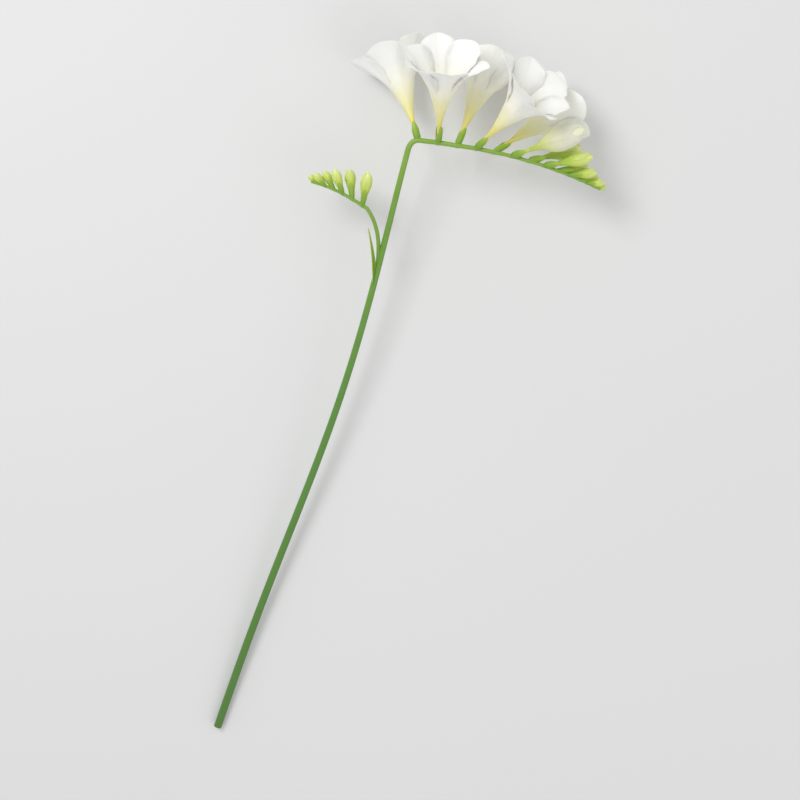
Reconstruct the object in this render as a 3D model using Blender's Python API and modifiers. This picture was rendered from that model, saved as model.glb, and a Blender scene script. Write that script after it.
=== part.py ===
"""A cut freesia stem lying on a table.

The stem bends near its top, and the flowers stand on the bent part in two rows, like a comb.
Lengths are in metres and +Z is up. The table is at z = 0, the stem runs along Y to the flowers at +Y,
and the comb runs towards +X. The origin is the middle of the footprint.
"""
import math
import random
from collections import namedtuple

import bmesh
import bpy
from mathutils import Matrix, Vector

MM = 0.001
SEED = 7
GAP = 0.3 * MM
SHARP_ANGLE = math.radians(50.0)
# Where blades cross one another, the exact solver leaves open edges
BLADE_SOLVER = "MANIFOLD"

# The stem, from its cut end to the bend under the first flower
BEND = Vector((-0.0321, 0.16065, 0.0362))
STEM_LENGTH = 0.385
STEM_POINTS = 24
CUT_RADIUS = 2.4 * MM
BEND_RADIUS = 1.6 * MM
STEM_TAPER = 1.3
STEM_SWAY = 5.0 * MM
SWAY_WAVES = 1.1
STEM_WIGGLE = 2.0 * MM
WIGGLE_WAVES = 2.3
STEM_RISE_EARLY = 0.55
STEM_RISE_POWER = 2.2
BEND_INSET = 7.0 * MM
BEND_CORNER = Vector((-0.3 * MM, 0.6 * MM, 0.0))
BEND_END = 0.9 * BEND_INSET
BEND_SPARE = 2.0 * MM
BEND_POINTS = 5

# The comb, along which each flower sits on its own small joint
COMB_LENGTH = 0.109
COMB_ARCH = 9.0 * MM
COMB_ARCH_WAVES = 0.75
COMB_LIFT = 2.0 * MM
COMB_ZIGZAG = 0.5 * MM
COMB_RADIUS = 1.45 * MM
TIP_RADIUS = 0.7 * MM

# Thin parts
PETAL_THICKNESS = 0.75 * MM
BRACT_THICKNESS = 0.6 * MM

# How a petal bends where it is pressed on the table, and how many blends above it nothing bends
PRESSED = 0.15 * MM
PRESS_BLEND = 1.0 * MM
PRESS_REACH = 8.0

# The tube and funnel of a flower
TUBE_RADIUS = 1.25 * MM
TUBE_LENGTH = 9.0 * MM
FUNNEL_LENGTH = 38.0 * MM
FUNNEL_RADIUS = 9.6 * MM
FUNNEL_SWELL = 1.28
FUNNEL_WALL = 0.85 * MM
FUNNEL_FLOOR = 0.38
FUNNEL_FLOOR_EDGE = FUNNEL_FLOOR + 0.04
FUNNEL_OUTSIDE = (0.4, 0.6, 0.8, 1.0)
FUNNEL_INSIDE = (1.0, 0.7, FUNNEL_FLOOR_EDGE)
FUNNEL_STEPS = 12
FOOT_EDGE = (0.75 * TUBE_RADIUS, 0.1 * MM)
FOOT_ROUND = 0.9 * MM

# A petal, whose lean is the angle between its middle line and the flower's axis
PETAL_COUNT = 6
PETAL_ROOT = 32.0 * MM
PETAL_LENGTH = 27.0 * MM
PETAL_HALF_WIDTH = 10.4 * MM
PETAL_ROOT_WIDTH = 0.50
PETAL_WIDEST = 0.62
PETAL_TIP_NARROWING = 0.50
PETAL_CORNER_CUT = 0.17
PETAL_CORNER_POWER = 2.5
PETAL_ROOT_LEAN = 20.0
PETAL_CURL = 1.15
OUTER_PETAL = {"lean": 8.0, "shift": 0.55 * MM, "length": 1.0, "width": 0.95}
INNER_PETAL = {"lean": -6.0, "shift": -0.5 * MM, "length": 0.96, "width": 1.05}
PETAL_SHIFTED_BY = 0.3
PETAL_CUP_RADIUS = 24.0 * MM
PETAL_CUP_PACE = 1.3
PETAL_WAVE = 1.0 * MM
PETAL_WAVE_ALONG = 5.0
PETAL_WAVE_ACROSS = 2.2
PETAL_FOLD = 0.5 * MM
PETAL_FOLD_WAVES = 1.5
PETAL_LINE_STEPS = 24
PETAL_ROWS = 5
PETAL_COLUMNS = 4

# How much petals differ: as shares of their length, width and cup, and as degrees of lean
LENGTH_DRAW = (0.95, 1.05)
WIDTH_DRAW = (0.94, 1.05)
CUP_DRAW = (0.9, 1.3)
LEAN_DRAW = (-7.0, 7.0)

Bloom =namedtuple("Bloom", "along fan tilt roll spread size")
BLOOMS = (
    Bloom(0.0040, -35.0, -26.5, 12.0, 63.0, 0.98),
    Bloom(0.0150, -15.0, 25.0, 40.0, 59.0, 1.02),
    Bloom(0.0255, 5.0, -25.0, 25.0, 58.0, 1.01),
    Bloom(0.0360, 24.0, 24.0, 5.0, 61.0, 1.01),
    Bloom(0.0460, 43.0, -26.0, 30.0, 55.0, 0.95),
)

# The stamens and style, as heights above the funnel's floor and distances from the axis
THREAD_RADIUS = 0.34 * MM
ANTHER_RADIUS = 0.70 * MM
THREAD_CLEARANCE = 0.9 * MM
STYLE_FOOT_RADIUS = 0.45 * MM
STYLE_FOOT_DROP = 0.2 * MM
STYLE_HEIGHT = 21.0 * MM
STYLE_ARM = ((0.12 * MM, -0.8 * MM), (0.5 * MM, 0.6 * MM), (1.7 * MM, 1.9 * MM))
FILAMENT = (
    (0.2 * MM, 0.0, THREAD_RADIUS),
    (1.5 * MM, 9.5 * MM, THREAD_RADIUS),
    (1.7 * MM, 10.5 * MM, ANTHER_RADIUS),
    (2.9 * MM, 18.0 * MM, ANTHER_RADIUS),
    (3.0 * MM, 19.0 * MM, THREAD_RADIUS),
)

# The buds: the large ones stand free in their bracts, the small ones have grown into them
Bud = namedtuple("Bud", "along fan tilt length radius")
LARGE_BUDS = (
    Bud(0.0560, 50.0, 21.0, 41.0 * MM, 7.0 * MM),
    Bud(0.0660, 61.0, -16.0, 29.0 * MM, 4.5 * MM),
    Bud(0.0750, 60.0, 16.0, 24.0 * MM, 3.7 * MM),
)
SMALL_BUDS = (
    Bud(0.0830, 68.0, -12.0, 19.0 * MM, 3.0 * MM),
    Bud(0.0900, 66.0, 13.0, 15.5 * MM, 2.6 * MM),
    Bud(0.0960, 72.0, -12.0, 12.5 * MM, 2.3 * MM),
    Bud(0.1010, 72.0, 11.0, 9.5 * MM, 1.9 * MM),
    Bud(0.1055, 78.0, -9.0, 7.0 * MM, 1.5 * MM),
)
BUD_NECK = 0.42
BUD_FOOT = ((0.0, 0.0), (0.80, 0.05), (1.0, 0.16), (1.35, 0.34))
BUD_SWELLING = ((0.78, 0.50), (1.0, 0.68), (0.84, 0.84), (0.48, 0.95), (0.0, 1.0))
BUD_RIB = 0.07
BUD_BEND = 0.10
BUD_STEPS = 9
SMALL_BUD_STEPS = 6

# The pair of bracts round each foot
BRACT_LENGTH = 11.0 * MM
BUD_BRACT_SIZE = 0.9
BRACT_WRAP = math.radians(82.0)
BRACT_CLEARANCE = 1.2 * GAP
BRACT_ROOT = 0.45
BRACT_OPEN_BY = 0.2
BRACT_FLARE = 0.25 * MM
BRACT_POINT = 0.30
BRACT_NARROWING = 0.55
BRACT_ROWS = 3
BRACT_COLUMNS = 3
BRACT_ROW_CROWDING = 1.5
SMALL_BRACT_SHARE = 0.52
SMALL_BRACT_POINT = 0.25
SMALL_BRACT_ROOT = 0.40
SMALL_BRACT_OPENING = 1.15
SMALL_BRACT_OPEN_BY = 0.5
SMALL_BRACT_NARROWING = 0.5
SMALL_BRACT_WRAP = math.radians(70.0)
SMALL_BRACT_ROWS = 2
SMALL_BRACT_COLUMNS = 2

# The side shoot, whose own comb runs towards -X
SHOOT_FROM = 0.300
SHOOT_REACH = Vector((-0.017, 0.040, 0.006))
SHOOT_BOW = Vector((0.15, 0.72, 0.5))
SHOOT_COMB_LENGTH = 0.0345
SHOOT_ARCH = 5.0 * MM
SHOOT_ARCH_WAVES = 0.6
SHOOT_LIFT = 1.5 * MM
SHOOT_RADIUS = 1.1 * MM
SHOOT_FOOT_EXTRA = 0.25 * MM
SHOOT_TIP_RADIUS = 0.65 * MM
SHOOT_POINTS = 8
SHOOT_BUDS = (
    Bud(0.0030, -8.0, 16.0, 20.0 * MM, 3.1 * MM),
    Bud(0.0095, -24.0, -16.0, 17.5 * MM, 2.9 * MM),
    Bud(0.0155, -36.0, 15.0, 15.0 * MM, 2.6 * MM),
    Bud(0.0210, -48.0, -14.0, 12.0 * MM, 2.3 * MM),
    Bud(0.0260, -58.0, 13.0, 9.5 * MM, 1.9 * MM),
    Bud(0.0305, -67.0, -9.0, 7.0 * MM, 1.5 * MM),
)

# The narrow leaf below the side shoot, along its middle, across it, and for its fold
LEAF_REACH = Vector((-0.0129, 0.0313, 0.0075))
LEAF_FOOT = Vector((-0.4 * MM, -1.0 * MM, 1.2 * MM))
LEAF_ACROSS = Vector((0.55, -0.25, -0.80))
LEAF_CURVE = 1.4
LEAF_HALF_WIDTH = 2.6 * MM
LEAF_ROOT_WIDTH = 0.55
LEAF_WIDE_BY = 0.3
LEAF_TIP_NARROWING = 0.86
LEAF_TIP_POWER = 2.4
LEAF_FOLD = 0.35
LEAF_ROWS = 7
LEAF_COLUMNS = 2

STEM_GREEN = (0.120, 0.260, 0.050)
PETAL_WHITE = (0.860, 0.850, 0.780)
STAMEN_CREAM = (0.840, 0.760, 0.470)
BUD_CREAM = (0.700, 0.740, 0.330)
BUD_LIME = (0.420, 0.600, 0.100)


def clear_scene():
    for item in list(bpy.data.objects):
        bpy.data.objects.remove(item, do_unlink=True)


def smooth(t):
    """0 below 0, 1 above 1 and an even curve between."""
    t = min(max(t, 0.0), 1.0)
    return t * t * (3.0 - 2.0 * t)


def mixed(low, high, share):
    return low + (high - low) * share


def material(name, colour, roughness):
    made = bpy.data.materials.new(name)
    made.use_nodes = True
    shader = made.node_tree.nodes["Principled BSDF"]
    shader.inputs["Base Color"].default_value = (*colour, 1.0)
    shader.inputs["Roughness"].default_value = roughness
    shader.inputs["Metallic"].default_value = 0.0
    return made


def link(name, mesh, collection):
    made = bpy.data.objects.new(name, mesh)
    collection.objects.link(made)
    return made


def evaluated(item):
    """A plain mesh of an object as it looks with its modifiers, in world space; the object goes."""
    bpy.context.view_layer.update()
    graph = bpy.context.evaluated_depsgraph_get()
    mesh = bpy.data.meshes.new_from_object(item.evaluated_get(graph))
    mesh.transform(item.matrix_world)
    bpy.data.objects.remove(item, do_unlink=True)
    return mesh


def closed(mesh):
    """The same mesh with its caps and seams welded and its faces pointing out."""
    shape = bmesh.new()
    shape.from_mesh(mesh)
    bmesh.ops.remove_doubles(shape, verts=shape.verts, dist=1e-6)
    bmesh.ops.recalc_face_normals(shape, faces=shape.faces)
    shape.to_mesh(mesh)
    shape.free()
    return mesh


def turned(profile, steps, place, work):
    """A turned shape: a profile of (radius, height) that starts and ends on the axis."""
    mesh = bpy.data.meshes.new("profile")
    points = [(radius, 0.0, height) for radius, height in profile]
    mesh.from_pydata(points, [(i, i + 1) for i in range(len(points) - 1)], [])
    item = link("profile", mesh, work)
    item.matrix_world = place
    screw = item.modifiers.new("turn", "SCREW")
    screw.axis = "Z"
    screw.steps = steps
    screw.render_steps = steps
    screw.use_merge_vertices = True
    screw.merge_threshold = 1e-6
    return closed(evaluated(item))


def rod(points, radii, resolution, work):
    """A tapering round rod along points, with closed ends."""
    curve = bpy.data.curves.new("rod", "CURVE")
    curve.dimensions = "3D"
    curve.bevel_depth = 1.0
    curve.bevel_resolution = resolution
    curve.use_fill_caps = True
    line = curve.splines.new("POLY")
    line.points.add(len(points) - 1)
    for slot, point, radius in zip(line.points, points, radii):
        slot.co = (*point, 1.0)
        slot.radius = radius
    return closed(evaluated(link("rod", curve, work)))


def blade(lay, rows, columns, thickness, work):
    """A thin leaf or petal: a grid laid on a surface, split into triangles and given its thickness."""
    shape = bmesh.new()
    bmesh.ops.create_grid(shape, x_segments=columns, y_segments=rows, size=0.5)
    for vert in shape.verts:
        vert.co = lay(vert.co.y + 0.5, 2.0 * vert.co.x)
    bmesh.ops.triangulate(shape, faces=shape.faces, quad_method="FIXED")
    mesh = bpy.data.meshes.new("blade")
    shape.to_mesh(mesh)
    shape.free()
    item = link("blade", mesh, work)
    solid = item.modifiers.new("thickness", "SOLIDIFY")
    solid.thickness = thickness
    solid.offset = 0.0
    return closed(evaluated(item))


def bodies_of(shape):
    """The faces of each separate body of a bmesh, the largest body last."""
    waiting = set(shape.faces)
    bodies = []
    while waiting:
        front = [waiting.pop()]
        body = list(front)
        while front:
            for edge in front.pop().edges:
                for other in edge.link_faces:
                    if other in waiting:
                        waiting.discard(other)
                        body.append(other)
                        front.append(other)
        bodies.append(body)
    return sorted(bodies, key=len)


def largest_body(mesh):
    """Keeps the largest body of a mesh, so that loose scraps and sealed hollows go."""
    shape = bmesh.new()
    shape.from_mesh(mesh)
    for body in bodies_of(shape)[:-1]:
        bmesh.ops.delete(shape, geom=body, context="FACES")
    bmesh.ops.triangulate(shape, faces=shape.faces)
    shape.to_mesh(mesh)
    shape.free()


def boolean(mesh, others, operation, solver, work):
    """One mesh joined with, or cut by, a list of meshes."""
    base = link("base", mesh, work)
    group = bpy.data.collections.new("group")
    bpy.context.scene.collection.children.link(group)
    for other in others:
        link("other", other, group)
    step = base.modifiers.new(operation.lower(), "BOOLEAN")
    step.operation = operation
    step.operand_type = "COLLECTION"
    step.collection = group
    step.solver = solver
    made = evaluated(base)
    for other in list(group.objects):
        bpy.data.objects.remove(other, do_unlink=True)
    bpy.data.collections.remove(group)
    return made


def table_block():
    """A block below the table, which takes off what reaches under z = 0."""
    shape = bmesh.new()
    bmesh.ops.create_cube(shape, size=1.0)
    bmesh.ops.translate(shape, verts=shape.verts, vec=(0.0, 0.0, -0.5))
    mesh = bpy.data.meshes.new("table")
    shape.to_mesh(mesh)
    shape.free()
    return mesh


def node(name, pieces, solver, finish, parts, work):
    """One node: its pieces joined, flattened where they lie on the table, and shaded."""
    mesh = pieces[0]
    if len(pieces) > 1:
        mesh = boolean(mesh, pieces[1:], "UNION", solver, work)
    if min(vert.co.z for vert in mesh.vertices) < 0.0:
        mesh = boolean(mesh, [table_block()], "DIFFERENCE", solver, work)
    largest_body(mesh)
    mesh.name = name
    mesh.materials.clear()
    mesh.materials.append(finish)
    mesh.shade_smooth()
    mesh.set_sharp_from_angle(angle=SHARP_ANGLE)
    link(name, mesh, parts)


def stem_point(part):
    """The middle line of the stem, from the cut end at 0 to the bend at 1."""
    def sideways(t):
        sway = STEM_SWAY * math.sin(SWAY_WAVES * math.pi * t)
        return sway - STEM_WIGGLE * math.sin(WIGGLE_WAVES * math.pi * t)

    low = CUT_RADIUS - PRESSED
    rise = STEM_RISE_EARLY * part + (1.0 - STEM_RISE_EARLY) * part ** STEM_RISE_POWER
    return Vector((
        BEND.x + sideways(part) - sideways(1.0) * part,
        BEND.y - STEM_LENGTH * (1.0 - part),
        mixed(low, BEND.z, rise),
    ))


def stem_radius(part):
    return mixed(CUT_RADIUS, BEND_RADIUS, part ** STEM_TAPER)


def comb_point(along):
    """The middle line of the bent top, from the bend to its tip."""
    part = along / COMB_LENGTH
    arch = COMB_ARCH * math.sin(COMB_ARCH_WAVES * math.pi * part)
    return BEND + Vector((along, arch, COMB_LIFT * part))


def comb_radius(along):
    return mixed(COMB_RADIUS, TIP_RADIUS, along / COMB_LENGTH)


def shoot_start():
    return stem_point(SHOOT_FROM / STEM_LENGTH)


def shoot_point(along):
    """The middle line of the side shoot's comb."""
    part = along / SHOOT_COMB_LENGTH
    arch = SHOOT_ARCH * math.sin(SHOOT_ARCH_WAVES * math.pi * part)
    return shoot_start() + SHOOT_REACH + Vector((-along, arch, SHOOT_LIFT * part))


def shoot_radius(along):
    return mixed(SHOOT_RADIUS, SHOOT_TIP_RADIUS, along / SHOOT_COMB_LENGTH)


def aim(spot):
    """The direction of a flower or bud: fan turns it from +Y towards +X and tilt lifts it."""
    fan = math.radians(spot.fan)
    tilt = math.radians(spot.tilt)
    return Vector((math.sin(fan) * math.cos(tilt), math.cos(fan) * math.cos(tilt), math.sin(tilt)))


def stand(foot, way, roll):
    """The place of a flower whose own axis is +Z, at foot and pointing along way."""
    turn = way.to_track_quat("Z", "Y").to_matrix().to_4x4()
    return Matrix.Translation(foot) @ turn @ Matrix.Rotation(math.radians(roll), 4, "Z")


def foot_reach(spot, foot_radius):
    """How far from the comb's middle line a round foot clears it by the gap."""
    line = (comb_point(spot.along + MM) - comb_point(spot.along)).normalized()
    slant = abs(aim(spot).dot(line))
    upright = math.sqrt(1.0 - slant * slant)
    return (comb_radius(spot.along) + foot_radius * slant) / upright + GAP


def comb_place(spot, foot_radius, roll):
    """The place of a flower or bud whose foot stands just clear of the comb."""
    way = aim(spot)
    return stand(comb_point(spot.along) + way * foot_reach(spot, foot_radius), way, roll)


def funnel_radius(height):
    part = max(height - TUBE_LENGTH, 0.0) / (FUNNEL_LENGTH - TUBE_LENGTH)
    return mixed(TUBE_RADIUS, FUNNEL_RADIUS, part ** FUNNEL_SWELL)


def funnel(size, place, work):
    """The tube and the funnel with an open mouth, one wall thick."""
    def wall(part, inset):
        return funnel_radius(part * FUNNEL_LENGTH) - inset, part * FUNNEL_LENGTH

    profile = [(0.0, 0.0), FOOT_EDGE, (TUBE_RADIUS, FOOT_ROUND), (TUBE_RADIUS, TUBE_LENGTH)]
    profile += [wall(part, 0.0) for part in FUNNEL_OUTSIDE]
    profile += [wall(part, FUNNEL_WALL) for part in FUNNEL_INSIDE]
    profile.append((0.0, FUNNEL_FLOOR * FUNNEL_LENGTH))
    return turned([(size * radius, size * height) for radius, height in profile], FUNNEL_STEPS, place, work)


def petal_line(length, size, root_lean, tip_lean):
    """Radius, height and lean along the middle line of a petal."""
    line = []
    radius = (funnel_radius(PETAL_ROOT) - 0.5 * PETAL_THICKNESS) * size
    height = PETAL_ROOT * size
    step = length / PETAL_LINE_STEPS
    for i in range(PETAL_LINE_STEPS + 1):
        lean = mixed(root_lean, tip_lean, (i / PETAL_LINE_STEPS) ** PETAL_CURL)
        line.append((radius, height, lean))
        radius += step * math.sin(lean)
        height += step * math.cos(lean)
    return line


def along_line(line, part):
    spot = min(part, 1.0) * PETAL_LINE_STEPS
    first = min(int(spot), PETAL_LINE_STEPS - 1)
    return [mixed(low, high, spot - first) for low, high in zip(line[first], line[first + 1])]


def pressed(point):
    """A point of a petal, kept above the table as a soft petal bends where it lies on it."""
    floor = 0.5 * PETAL_THICKNESS - PRESSED
    height = (point.z - floor) / PRESS_BLEND
    if height < PRESS_REACH:
        point.z = floor + PRESS_BLEND * math.log1p(math.exp(height))
    return point


def petal(bloom, place, number, draw):
    """A function that lays a point of a petal, from how far along and across it is."""
    row = OUTER_PETAL if number % 2 == 0 else INNER_PETAL
    length = PETAL_LENGTH * bloom.size * row["length"] * draw.uniform(*LENGTH_DRAW)
    half_width = PETAL_HALF_WIDTH * bloom.size * row["width"] * draw.uniform(*WIDTH_DRAW)
    tip_lean = math.radians(bloom.spread + row["lean"] + draw.uniform(*LEAN_DRAW))
    wave = draw.uniform(0.0, 2.0 * math.pi)
    cup_radius = PETAL_CUP_RADIUS * draw.uniform(*CUP_DRAW)
    turn = Matrix.Rotation(number * 2.0 * math.pi / PETAL_COUNT, 4, "Z")
    line = petal_line(length, bloom.size, math.radians(PETAL_ROOT_LEAN), tip_lean)

    def lay(along, across):
        along *= 1.0 - PETAL_CORNER_CUT * abs(across) ** PETAL_CORNER_POWER
        radius, height, lean = along_line(line, along)
        radius += row["shift"] * smooth(along / PETAL_SHIFTED_BY)
        grown = mixed(PETAL_ROOT_WIDTH, 1.0, smooth(along / PETAL_WIDEST))
        past = max(along - PETAL_WIDEST, 0.0) / (1.0 - PETAL_WIDEST)
        width = half_width * grown * (1.0 - PETAL_TIP_NARROWING * past ** 2)
        curve = mixed(radius, cup_radius, smooth(PETAL_CUP_PACE * along))
        bow = width * across / curve
        ripple = math.sin(PETAL_WAVE_ALONG * along + PETAL_WAVE_ACROSS * across + wave)
        fold = math.cos(PETAL_FOLD_WAVES * math.pi * across)
        depth = curve * (1.0 - math.cos(bow))
        depth += PETAL_WAVE * across ** 2 * along * ripple
        depth -= PETAL_FOLD * along * fold * (1.0 - abs(across))
        point = Vector((
            radius - depth * math.cos(lean),
            curve * math.sin(bow),
            height + depth * math.sin(lean),
        ))
        return pressed(place @ (turn @ point))

    return lay


def flower(number, bloom, work):
    """One open flower: the funnel with three inner and three outer petals."""
    draw = random.Random(SEED * 100 + number)
    place = comb_place(bloom, TUBE_RADIUS, bloom.roll)
    pieces = [funnel(bloom.size, place, work)]
    for i in range(PETAL_COUNT):
        lay = petal(bloom, place, i, draw)
        pieces.append(blade(lay, PETAL_ROWS, PETAL_COLUMNS, PETAL_THICKNESS, work))
    return pieces


def stamens(bloom, work):
    """Three stamens round a style with three arms, standing on the floor of the funnel."""
    place = comb_place(bloom, TUBE_RADIUS, bloom.roll)
    floor = FUNNEL_FLOOR_EDGE * FUNNEL_LENGTH * bloom.size + THREAD_CLEARANCE
    top = floor + STYLE_HEIGHT
    heights = (floor - STYLE_FOOT_DROP, 0.5 * (floor + top), top)
    style = [place @ Vector((0.0, 0.0, height)) for height in heights]
    pieces = [rod(style, (STYLE_FOOT_RADIUS, THREAD_RADIUS, THREAD_RADIUS), 0, work)]
    for i in range(3):
        turn = place @ Matrix.Rotation(math.radians(120.0 * i), 4, "Z")
        arm = [turn @ Vector((out, 0.0, top + up)) for out, up in STYLE_ARM]
        pieces.append(rod(arm, [THREAD_RADIUS] * len(arm), 0, work))
        turn = place @ Matrix.Rotation(math.radians(120.0 * i + 60.0), 4, "Z")
        filament = [turn @ Vector((out, 0.0, floor + up)) for out, up, _ in FILAMENT]
        pieces.append(rod(filament, [radius for _, _, radius in FILAMENT], 0, work))
    return pieces


def bud_foot(bud):
    return min(BUD_NECK * bud.radius, TUBE_RADIUS)


def bud_body(bud, steps, place, work):
    """A bud: a narrow foot and a swelling with three faint ribs, bowed a little."""
    foot = [(bud_foot(bud) * wide, bud.length * part) for wide, part in BUD_FOOT]
    swelling = [(bud.radius * wide, bud.length * part) for wide, part in BUD_SWELLING]
    mesh = turned(foot + swelling, steps, Matrix.Identity(4), work)
    for vert in mesh.vertices:
        part = vert.co.z / bud.length
        rib = 1.0 + BUD_RIB * part * math.cos(3.0 * math.atan2(vert.co.y, vert.co.x))
        vert.co.x *= rib
        vert.co.y = vert.co.y * rib - BUD_BEND * bud.length * part * part
    mesh.transform(place)
    return mesh


def bract(place, side, size, foot):
    """A function that lays one bract, which clasps a foot from the side at this angle."""
    turn = Matrix.Rotation(side, 4, "Z")
    clear = (foot + BRACT_CLEARANCE + 0.5 * BRACT_THICKNESS) / math.cos(BRACT_WRAP / BRACT_COLUMNS)

    def lay(along, across):
        along **= BRACT_ROW_CROWDING
        opened = mixed(BRACT_ROOT, 1.0, smooth(along / BRACT_OPEN_BY))
        radius = clear * opened + BRACT_FLARE * along ** 2
        wrap = BRACT_WRAP * (1.0 - BRACT_NARROWING * along ** 3) * across
        height = BRACT_LENGTH * size * along * (1.0 - BRACT_POINT * across ** 2)
        return place @ (turn @ Vector((radius * math.cos(wrap), radius * math.sin(wrap), height)))

    return lay


def bracts(spot, foot, size, roll, work):
    """The two bracts of a flower or large bud, rooted in the comb on either side of its foot."""
    place = stand(comb_point(spot.along), aim(spot), roll)
    pieces = []
    for side in (0.5 * math.pi, -0.5 * math.pi):
        lay = bract(place, side, size, foot)
        pieces.append(blade(lay, BRACT_ROWS, BRACT_COLUMNS, BRACT_THICKNESS, work))
    return pieces


def small_bract(bud, place, side):
    """A function that lays a bract on the lower half of a small bud."""
    turn = Matrix.Rotation(side, 4, "Z")

    def lay(along, across):
        height = SMALL_BRACT_SHARE * bud.length * along * (1.0 - SMALL_BRACT_POINT * across ** 2)
        part = height / bud.length
        opened = mixed(SMALL_BRACT_ROOT, SMALL_BRACT_OPENING, smooth(part / SMALL_BRACT_OPEN_BY))
        hug = bud.radius * opened + GAP
        wrap = SMALL_BRACT_WRAP * (1.0 - SMALL_BRACT_NARROWING * along ** 3) * across
        point = turn @ Vector((hug * math.cos(wrap), hug * math.sin(wrap), height))
        point.y -= BUD_BEND * bud.length * part * part
        return place @ point

    return lay


def small_bud(bud, point, work):
    """A small bud that has grown together with its bracts and with what it stands on."""
    place = stand(point, aim(bud), 0.0)
    pieces = [bud_body(bud, SMALL_BUD_STEPS, place, work)]
    for side in (0.5 * math.pi, -0.5 * math.pi):
        lay = small_bract(bud, place, side)
        pieces.append(blade(lay, SMALL_BRACT_ROWS, SMALL_BRACT_COLUMNS, BRACT_THICKNESS, work))
    return pieces


def leaf(work):
    """The narrow leaf that stands where the side shoot leaves the stem."""
    foot = shoot_start() + LEAF_FOOT

    def lay(along, across):
        grown = mixed(LEAF_ROOT_WIDTH, 1.0, smooth(along / LEAF_WIDE_BY))
        side = LEAF_HALF_WIDTH * (grown * (1.0 - LEAF_TIP_NARROWING * along ** LEAF_TIP_POWER)) * across
        reach = Vector((
            LEAF_REACH.x * along ** LEAF_CURVE,
            LEAF_REACH.y * along,
            LEAF_REACH.z * along ** LEAF_CURVE,
        ))
        return foot + reach + LEAF_ACROSS * side + Vector((0.0, 0.0, LEAF_FOLD * abs(side)))

    return blade(lay, LEAF_ROWS, LEAF_COLUMNS, BRACT_THICKNESS, work)


def arc(start, middle, end, count):
    """Points on a curve from start to end that bends towards middle."""
    parts = [i / count for i in range(count + 1)]
    return [start * (1 - t) ** 2 + middle * 2.0 * t * (1 - t) + end * t ** 2 for t in parts]


def main_line(work):
    """The stem, the bend and the comb's middle line as one rod."""
    before = stem_point(1.0 - BEND_INSET / STEM_LENGTH)
    parts = [i / STEM_POINTS for i in range(STEM_POINTS)]
    parts = [part for part in parts if stem_point(part).y < before.y - BEND_SPARE]
    points = [stem_point(part) for part in parts]
    radii = [stem_radius(part) for part in parts]
    points += arc(before, BEND + BEND_CORNER, comb_point(BEND_END), BEND_POINTS)
    radii += [mixed(BEND_RADIUS, COMB_RADIUS, i / BEND_POINTS) for i in range(BEND_POINTS + 1)]
    side = COMB_ZIGZAG
    for spot in BLOOMS + LARGE_BUDS + SMALL_BUDS:
        if spot.along > BEND_INSET:
            points.append(comb_point(spot.along) + Vector((0.0, 0.0, side)))
            radii.append(comb_radius(spot.along))
        side = -side
    points.append(comb_point(COMB_LENGTH))
    radii.append(TIP_RADIUS)
    return rod(points, radii, 2, work)


def side_line(work):
    """The side shoot, which leaves the stem at a narrow angle and bends outwards."""
    foot = shoot_start()
    top = shoot_point(0.0)
    points = arc(foot, foot + SHOOT_BOW * SHOOT_REACH, top, SHOOT_POINTS)
    extra = [SHOOT_FOOT_EXTRA * (1.0 - i / SHOOT_POINTS) for i in range(SHOOT_POINTS + 1)]
    radii = [SHOOT_RADIUS + more for more in extra]
    for bud in SHOOT_BUDS:
        points.append(shoot_point(bud.along))
        radii.append(shoot_radius(bud.along))
    points.append(shoot_point(SHOOT_COMB_LENGTH))
    radii.append(SHOOT_TIP_RADIUS)
    return rod(points, radii, 1, work)


def stem(work):
    """All that is green: the stem, side shoot, leaf, bracts and small buds."""
    pieces = [main_line(work), side_line(work), leaf(work)]
    for bloom in BLOOMS:
        pieces += bracts(bloom, TUBE_RADIUS, 1.0, bloom.roll, work)
    for bud in LARGE_BUDS:
        pieces += bracts(bud, bud_foot(bud), BUD_BRACT_SIZE, 0.0, work)
    for bud in SMALL_BUDS:
        pieces += small_bud(bud, comb_point(bud.along), work)
    for bud in SHOOT_BUDS:
        pieces += small_bud(bud, shoot_point(bud.along), work)
    return pieces


def build():
    clear_scene()
    parts = bpy.data.collections.new("freesia_stem")
    work = bpy.data.collections.new("working_shapes")
    bpy.context.scene.collection.children.link(parts)
    bpy.context.scene.collection.children.link(work)
    petal_white = material("petal_white", PETAL_WHITE, 0.55)
    stamen_cream = material("stamen_cream", STAMEN_CREAM, 0.6)
    stem_green = material("stem_green", STEM_GREEN, 0.5)
    node("stem", stem(work), BLADE_SOLVER, stem_green, parts, work)
    for number, bloom in enumerate(BLOOMS, 1):
        node(f"flower_{number}", flower(number, bloom, work), BLADE_SOLVER, petal_white, parts, work)
        node(f"stamens_{number}", stamens(bloom, work), "EXACT", stamen_cream, parts, work)
    bud_cream = material("bud_cream", BUD_CREAM, 0.5)
    bud_lime = material("bud_lime", BUD_LIME, 0.5)
    for number, bud in enumerate(LARGE_BUDS, 1):
        place = comb_place(bud, bud_foot(bud), 0.0)
        body = bud_body(bud, BUD_STEPS, place, work)
        node(f"bud_{number}", [body], "EXACT", bud_cream if number == 1 else bud_lime, parts, work)
    bpy.data.collections.remove(work)


build()
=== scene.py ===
"""The looks of a cut freesia stem that lies on a pale table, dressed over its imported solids.

Lengths are in metres and +Z is up, in the frame of the solids: the stem runs along Y to its flowers at +Y,
and the comb of flowers runs towards +X.

The vertices keep up to four numbers: reach is how far along its part a point is, side how far from the
middle line, free how far past the funnel's rim, and row is 1 on outer petals and -1 on inner ones.
"""
import math
import random
from collections import namedtuple

import bmesh
import bpy
from mathutils import Matrix, Vector
from mathutils.bvhtree import BVHTree


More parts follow.
